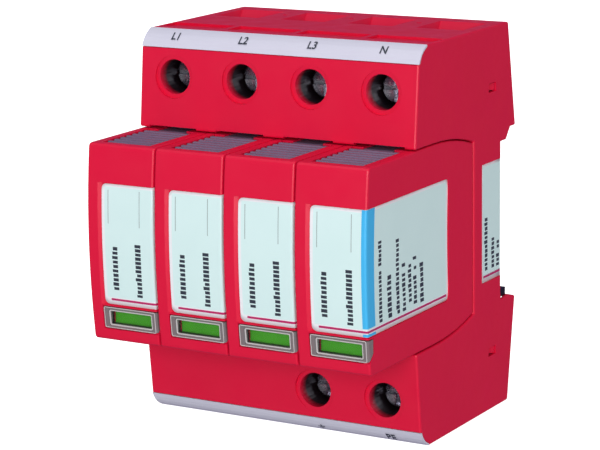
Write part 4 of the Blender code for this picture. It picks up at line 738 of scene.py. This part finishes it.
# Rows of blocks, in millimetres: run of the foot (on a module's side its depth), z0, z1, height, pitch, seed
FRONT_ROWS = (
    (4.0, -11.5, 0.8, 1.7, 1.02, 3),
    (10.2, -11.6, 0.4, 1.6, 0.95, 5),
)
SIDE_ROWS = (
    (57.7, -11.8, 5.9, 1.5, 0.95, 11),
    (53.4, -11.7, -0.7, 2.0, 1.2, 12),
    (49.8, -11.7, 6.4, 1.6, 1.05, 13),
    (47.0, -11.8, -1.0, 1.6, 1.1, 14),
    (44.2, -11.5, -1.1, 1.6, 1.1, 15),
    (41.8, -11.3, -0.7, 1.6, 1.1, 16),
    (38.6, -11.6, -2.1, 1.8, 1.15, 17),
)
BASE_ROWS = (
    (3.1, -11.3, 0.8, 1.8, 1.05, 21),
    (6.6, -11.3, -4.0, 1.8, 1.05, 22),
    (9.2, -11.4, -5.2, 1.6, 1.05, 23),
)


def in_metres(row):
    """A row with its sizes in metres and its seed as it is."""
    return [value * MM for value in row[:5]] + [row[5]]


def module_print(tag):
    """The simple print on a module's label: a foot line, a tint, guide lines, rows of blocks, and on the
    last one a blue band."""
    place = on_module(MIDDLES[tag], PRINT_LIFT)
    tinted = on_module(MIDDLES[tag], PRINT_LIFT * 0.5)
    body = f"module_{tag}"
    rear = run_of_side(LABEL_REAR) - FOOT_LINE_MARGIN
    left, low, high = FOOT_LINE
    patches(f"foot_line_{tag}", place, [(left, low, rear, high)], "magenta", body, LABEL_FOLDS)
    left, low, high = TINT
    field = (left, low, rear + TINT_BEYOND_LINE, high)
    patches(f"tint_{tag}", tinted, [field], "field", body, LABEL_FOLDS)
    patches(f"guide_lines_{tag}", place, GUIDE_LINES, "grey_line", body)
    rows = [in_metres(row) for row in FRONT_ROWS]
    for row in SIDE_ROWS:
        depth, *rest = in_metres(row)
        rows.append([run_of_side(depth)] + rest)
    word_rows(f"word_rows_{tag}", place, rows, body)
    if tag == "NPE":
        bands = [(BAND_LEFT, low, run_of_side(BAND_REAR), high) for low, high in BAND_HEIGHTS]
        patches(f"pole_band_{tag}", place, bands, "blue", body, LABEL_FOLDS)


def base_print():
    """The print on the base's side label."""
    place = on_base_side(PRINT_LIFT)
    patches("base_tint", on_base_side(PRINT_LIFT * 0.5), [BASE_TINT], "field", "base")
    patches("base_foot_line", place, [BASE_FOOT_LINE], "magenta", "base")
    word_rows("base_word_rows", place, [in_metres(row) for row in BASE_ROWS], "base")


def rounded_loop(low, high, corner, inset):
    """Points (across, height) round a rectangle with rounded corners, drawn in by the inset. Its straight
    sides are cut into short lengths, so that they can follow the bowed front."""
    corners = (
        (high[0], high[1], -1, -1),
        (low[0], high[1], 1, -1),
        (low[0], low[1], 1, 1),
        (high[0], low[1], -1, 1),
    )
    last = CORNER_POINTS - 1
    radius = corner - inset
    turns = []
    for turn, (x, z, side_x, side_z) in enumerate(corners):
        for step in range(CORNER_POINTS):
            angle = math.radians(90 * turn + 90 * step / last)
            across = x + side_x * corner + radius * math.cos(angle)
            turns.append((across, z + side_z * corner + radius * math.sin(angle)))
    loop = []
    for at, (x0, z0) in enumerate(turns):
        x1, z1 = turns[(at + 1) % len(turns)]
        parts = 1
        if at % CORNER_POINTS == last:
            parts = max(1, round(math.hypot(x1 - x0, z1 - z0) / BEAD_STEP))
        loop += [(x0 + (x1 - x0) * i / parts, z0 + (z1 - z0) * i / parts) for i in range(parts)]
    return loop


def window_beads(tag):
    """The raised beads of the window: one just inside the rim of its dish, one round its outer edge."""
    dish_low = [value - DISH_MARGIN for value in SIGHT_LOW]
    dish_high = [value + DISH_MARGIN for value in SIGHT_HIGH]
    rims = (
        (dish_low, dish_high, DISH_DEPTH, DISH_CORNER, DISH_BEAD),
        (WINDOW_LOW, WINDOW_HIGH, 0.0, WINDOW_CORNER, WINDOW_BEAD),
    )
    middle = MIDDLES[tag]
    shape = bmesh.new()
    for low, high, sunk, corner, section in rims:
        rings = []
        for inset, height in section:
            loop = rounded_loop(low, high, corner, inset * MM)
            out = sunk - height * MM
            rings.append([shape.verts.new((middle + x, front_depth(z) + out, z)) for x, z in loop])
        for one, two in zip(rings, rings[1:] + rings[:1]):
            for i in range(len(one)):
                after = (i + 1) % len(one)
                shape.faces.new((one[i], one[after], two[after], two[i]))
    bmesh.ops.recalc_face_normals(shape, faces=shape.faces)
    # The beads take the nearly white finish of a painted highlight.
    made = object_from(f"window_beads_{tag}", shape, "edge")
    made.data.shade_smooth()
    made.data.set_sharp_from_angle(angle=math.radians(60))
    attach(made, f"module_{tag}")


def strip_marks():
    """Terminal marks on the two strips, in a plain narrow sans."""
    marks = [(tag, MIDDLES[pole] - UPPER_MARK_LEFT, 1) for tag, pole in zip(("L1", "L2", "L3", "N"), POLES)]
    marks.append(("PE", MIDDLES["NPE"] + EARTH_LETTERS_RIGHT, -1))
    for text, x, side in marks:
        curve = bpy.data.curves.new(f"mark_{text}", "FONT")
        curve.body = text
        curve.size = MARK_SIZE
        curve.offset = MARK_STROKE
        curve.align_x = "CENTER"
        curve.align_y = "CENTER"
        mesh = plain_mesh(bpy.data.objects.new(f"mark_{text}", curve))
        place = on_strip(side, MARK_LIFT)
        for vertex in mesh.vertices:
            vertex.co = place(x + MARK_WIDTH * vertex.co.x, side * vertex.co.y)
        mesh.materials.clear()
        mesh.materials.append(FINISHES["dark"])
        made = bpy.data.objects.new(f"terminal_mark_{text}", mesh)
        bpy.context.scene.collection.objects.link(made)
        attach(made, "base")


def earth_mark():
    """The usual earth sign: a short stem over three bars of falling length."""
    place = on_strip(-1, MARK_LIFT)
    x = MIDDLES["L3"] + EARTH_RIGHT
    fields = [(x - EARTH_LINE, EARTH_FIRST, x + EARTH_LINE, EARTH_TOP)]
    for step, half in enumerate(EARTH_BARS):
        level = EARTH_FIRST - step * EARTH_GAP
        fields.append((x - half, level - EARTH_LINE, x + half, level + EARTH_LINE))
    patches("earth_mark", lambda run, z: place(run, -z), fields, "dark", "base")


def foot_spring_coil():
    """The coil spring of the rail foot: it stands on the cover's lug."""
    shape = bmesh.new()
    shape.from_mesh(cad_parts["foot_spring"].data)
    bmesh.ops.remove_doubles(shape, verts=shape.verts, dist=0.001 * MM)
    coil = object_from("foot_spring_coil", shape, "wire")
    coil.data.shade_smooth()
    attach(coil, "base")
    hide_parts("foot_spring")
    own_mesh(coil)


# Light, floor and camera

def build_floor():
    """A pale floor that sweeps up behind the object. It glows, and throws no light on the object."""
    floor_z = BASE_LOW.z - FLOOR_GAP
    profile = [(FLOOR_FRONT, floor_z), (FLOOR_DEPTH, floor_z)]
    for step in range(1, SWEEP_STEPS + 1):
        angle = math.pi / 2 * step / SWEEP_STEPS
        profile.append((FLOOR_DEPTH + SWEEP * math.sin(angle), floor_z + SWEEP * (1 - math.cos(angle))))
    profile.append((FLOOR_DEPTH + SWEEP, floor_z + WALL_HEIGHT))
    shape = bmesh.new()
    rows = [[shape.verts.new((x, y, z)) for x in (-FLOOR_REACH, FLOOR_REACH)] for y, z in profile]
    for low, high in zip(rows, rows[1:]):
        shape.faces.new((low[0], low[1], high[1], high[0]))
    mesh = bpy.data.meshes.new("floor")
    shape.to_mesh(mesh)
    shape.free()
    floor = bpy.data.objects.new("floor", mesh)
    paper, tree, shader = new_material("paper_backdrop_white", "#f7f7f7", 0.9)
    shader.inputs["Emission Color"].default_value = linear("#ffffff")
    shader.inputs["Emission Strength"].default_value = FLOOR_GLOW
    grain(tree, shader, size_mm=1.0, height_mm=0.02, strength=0.3)
    mesh.materials.append(paper)
    mesh.shade_smooth()
    floor.visible_glossy = False
    floor.visible_diffuse = False
    bpy.context.scene.collection.objects.link(floor)


def build_light():
    """Soft surroundings, with another tint in gloss than as light, and large panels. The rear panel is kept
    out of gloss."""
    world = bpy.data.worlds.new("studio")
    world.use_nodes = True
    tree = world.node_tree
    path = add(tree, "ShaderNodeLightPath")
    tones = {"data_type": "RGBA", 6: WORLD_SOFT, 7: WORLD_GLOSS}
    tone = add(tree, "ShaderNodeMix", tones, {0: path.outputs["Is Glossy Ray"]})
    tree.links.new(tone.outputs[2], tree.nodes["Background"].inputs["Color"])
    bpy.context.scene.world = world
    for name, place, aim, power in PANELS:
        light = bpy.data.lights.new(name, "AREA")
        light.size = PANEL_SIZE
        light.energy = power
        holder = bpy.data.objects.new(name, light)
        holder.location = place
        holder.rotation_mode = "QUATERNION"
        holder.rotation_quaternion = (Vector(aim) - Vector(place)).to_track_quat("-Z", "Y")
        holder.visible_glossy = name != "rear"
        bpy.context.scene.collection.objects.link(holder)
    bpy.context.scene.view_settings.view_transform = "Standard"


def build_camera():
    """The camera stands where the photograph's own perspective puts it."""
    ahead = Vector((
        math.sin(CAMERA_AZIMUTH) * math.cos(CAMERA_DIP),
        math.cos(CAMERA_AZIMUTH) * math.cos(CAMERA_DIP),
        -math.sin(CAMERA_DIP),
    ))
    level = Vector((math.cos(CAMERA_AZIMUTH), -math.sin(CAMERA_AZIMUTH), 0.0))
    upright = level.cross(ahead)
    right = level * math.cos(CAMERA_ROLL) + upright * math.sin(CAMERA_ROLL)
    up = upright * math.cos(CAMERA_ROLL) - level * math.sin(CAMERA_ROLL)
    lens = bpy.data.cameras.new("camera")
    lens.sensor_width = SENSOR_WIDTH
    lens.lens = LENS
    lens.clip_start = 0.02
    lens.clip_end = 20.0
    camera = bpy.data.objects.new("camera", lens)
    turn = Matrix((right, up, -ahead)).transposed()
    camera.matrix_world = Matrix.Translation(CAMERA_PLACE) @ turn.to_4x4()
    bpy.context.scene.collection.objects.link(camera)
    bpy.context.scene.camera = camera


finish_nodes()
for pole in POLES:
    module_label(pole)
    module_print(pole)
    window_beads(pole)
side_label()
base_print()
strip_marks()
earth_mark()
foot_spring_coil()
build_floor()
build_light()
build_camera()
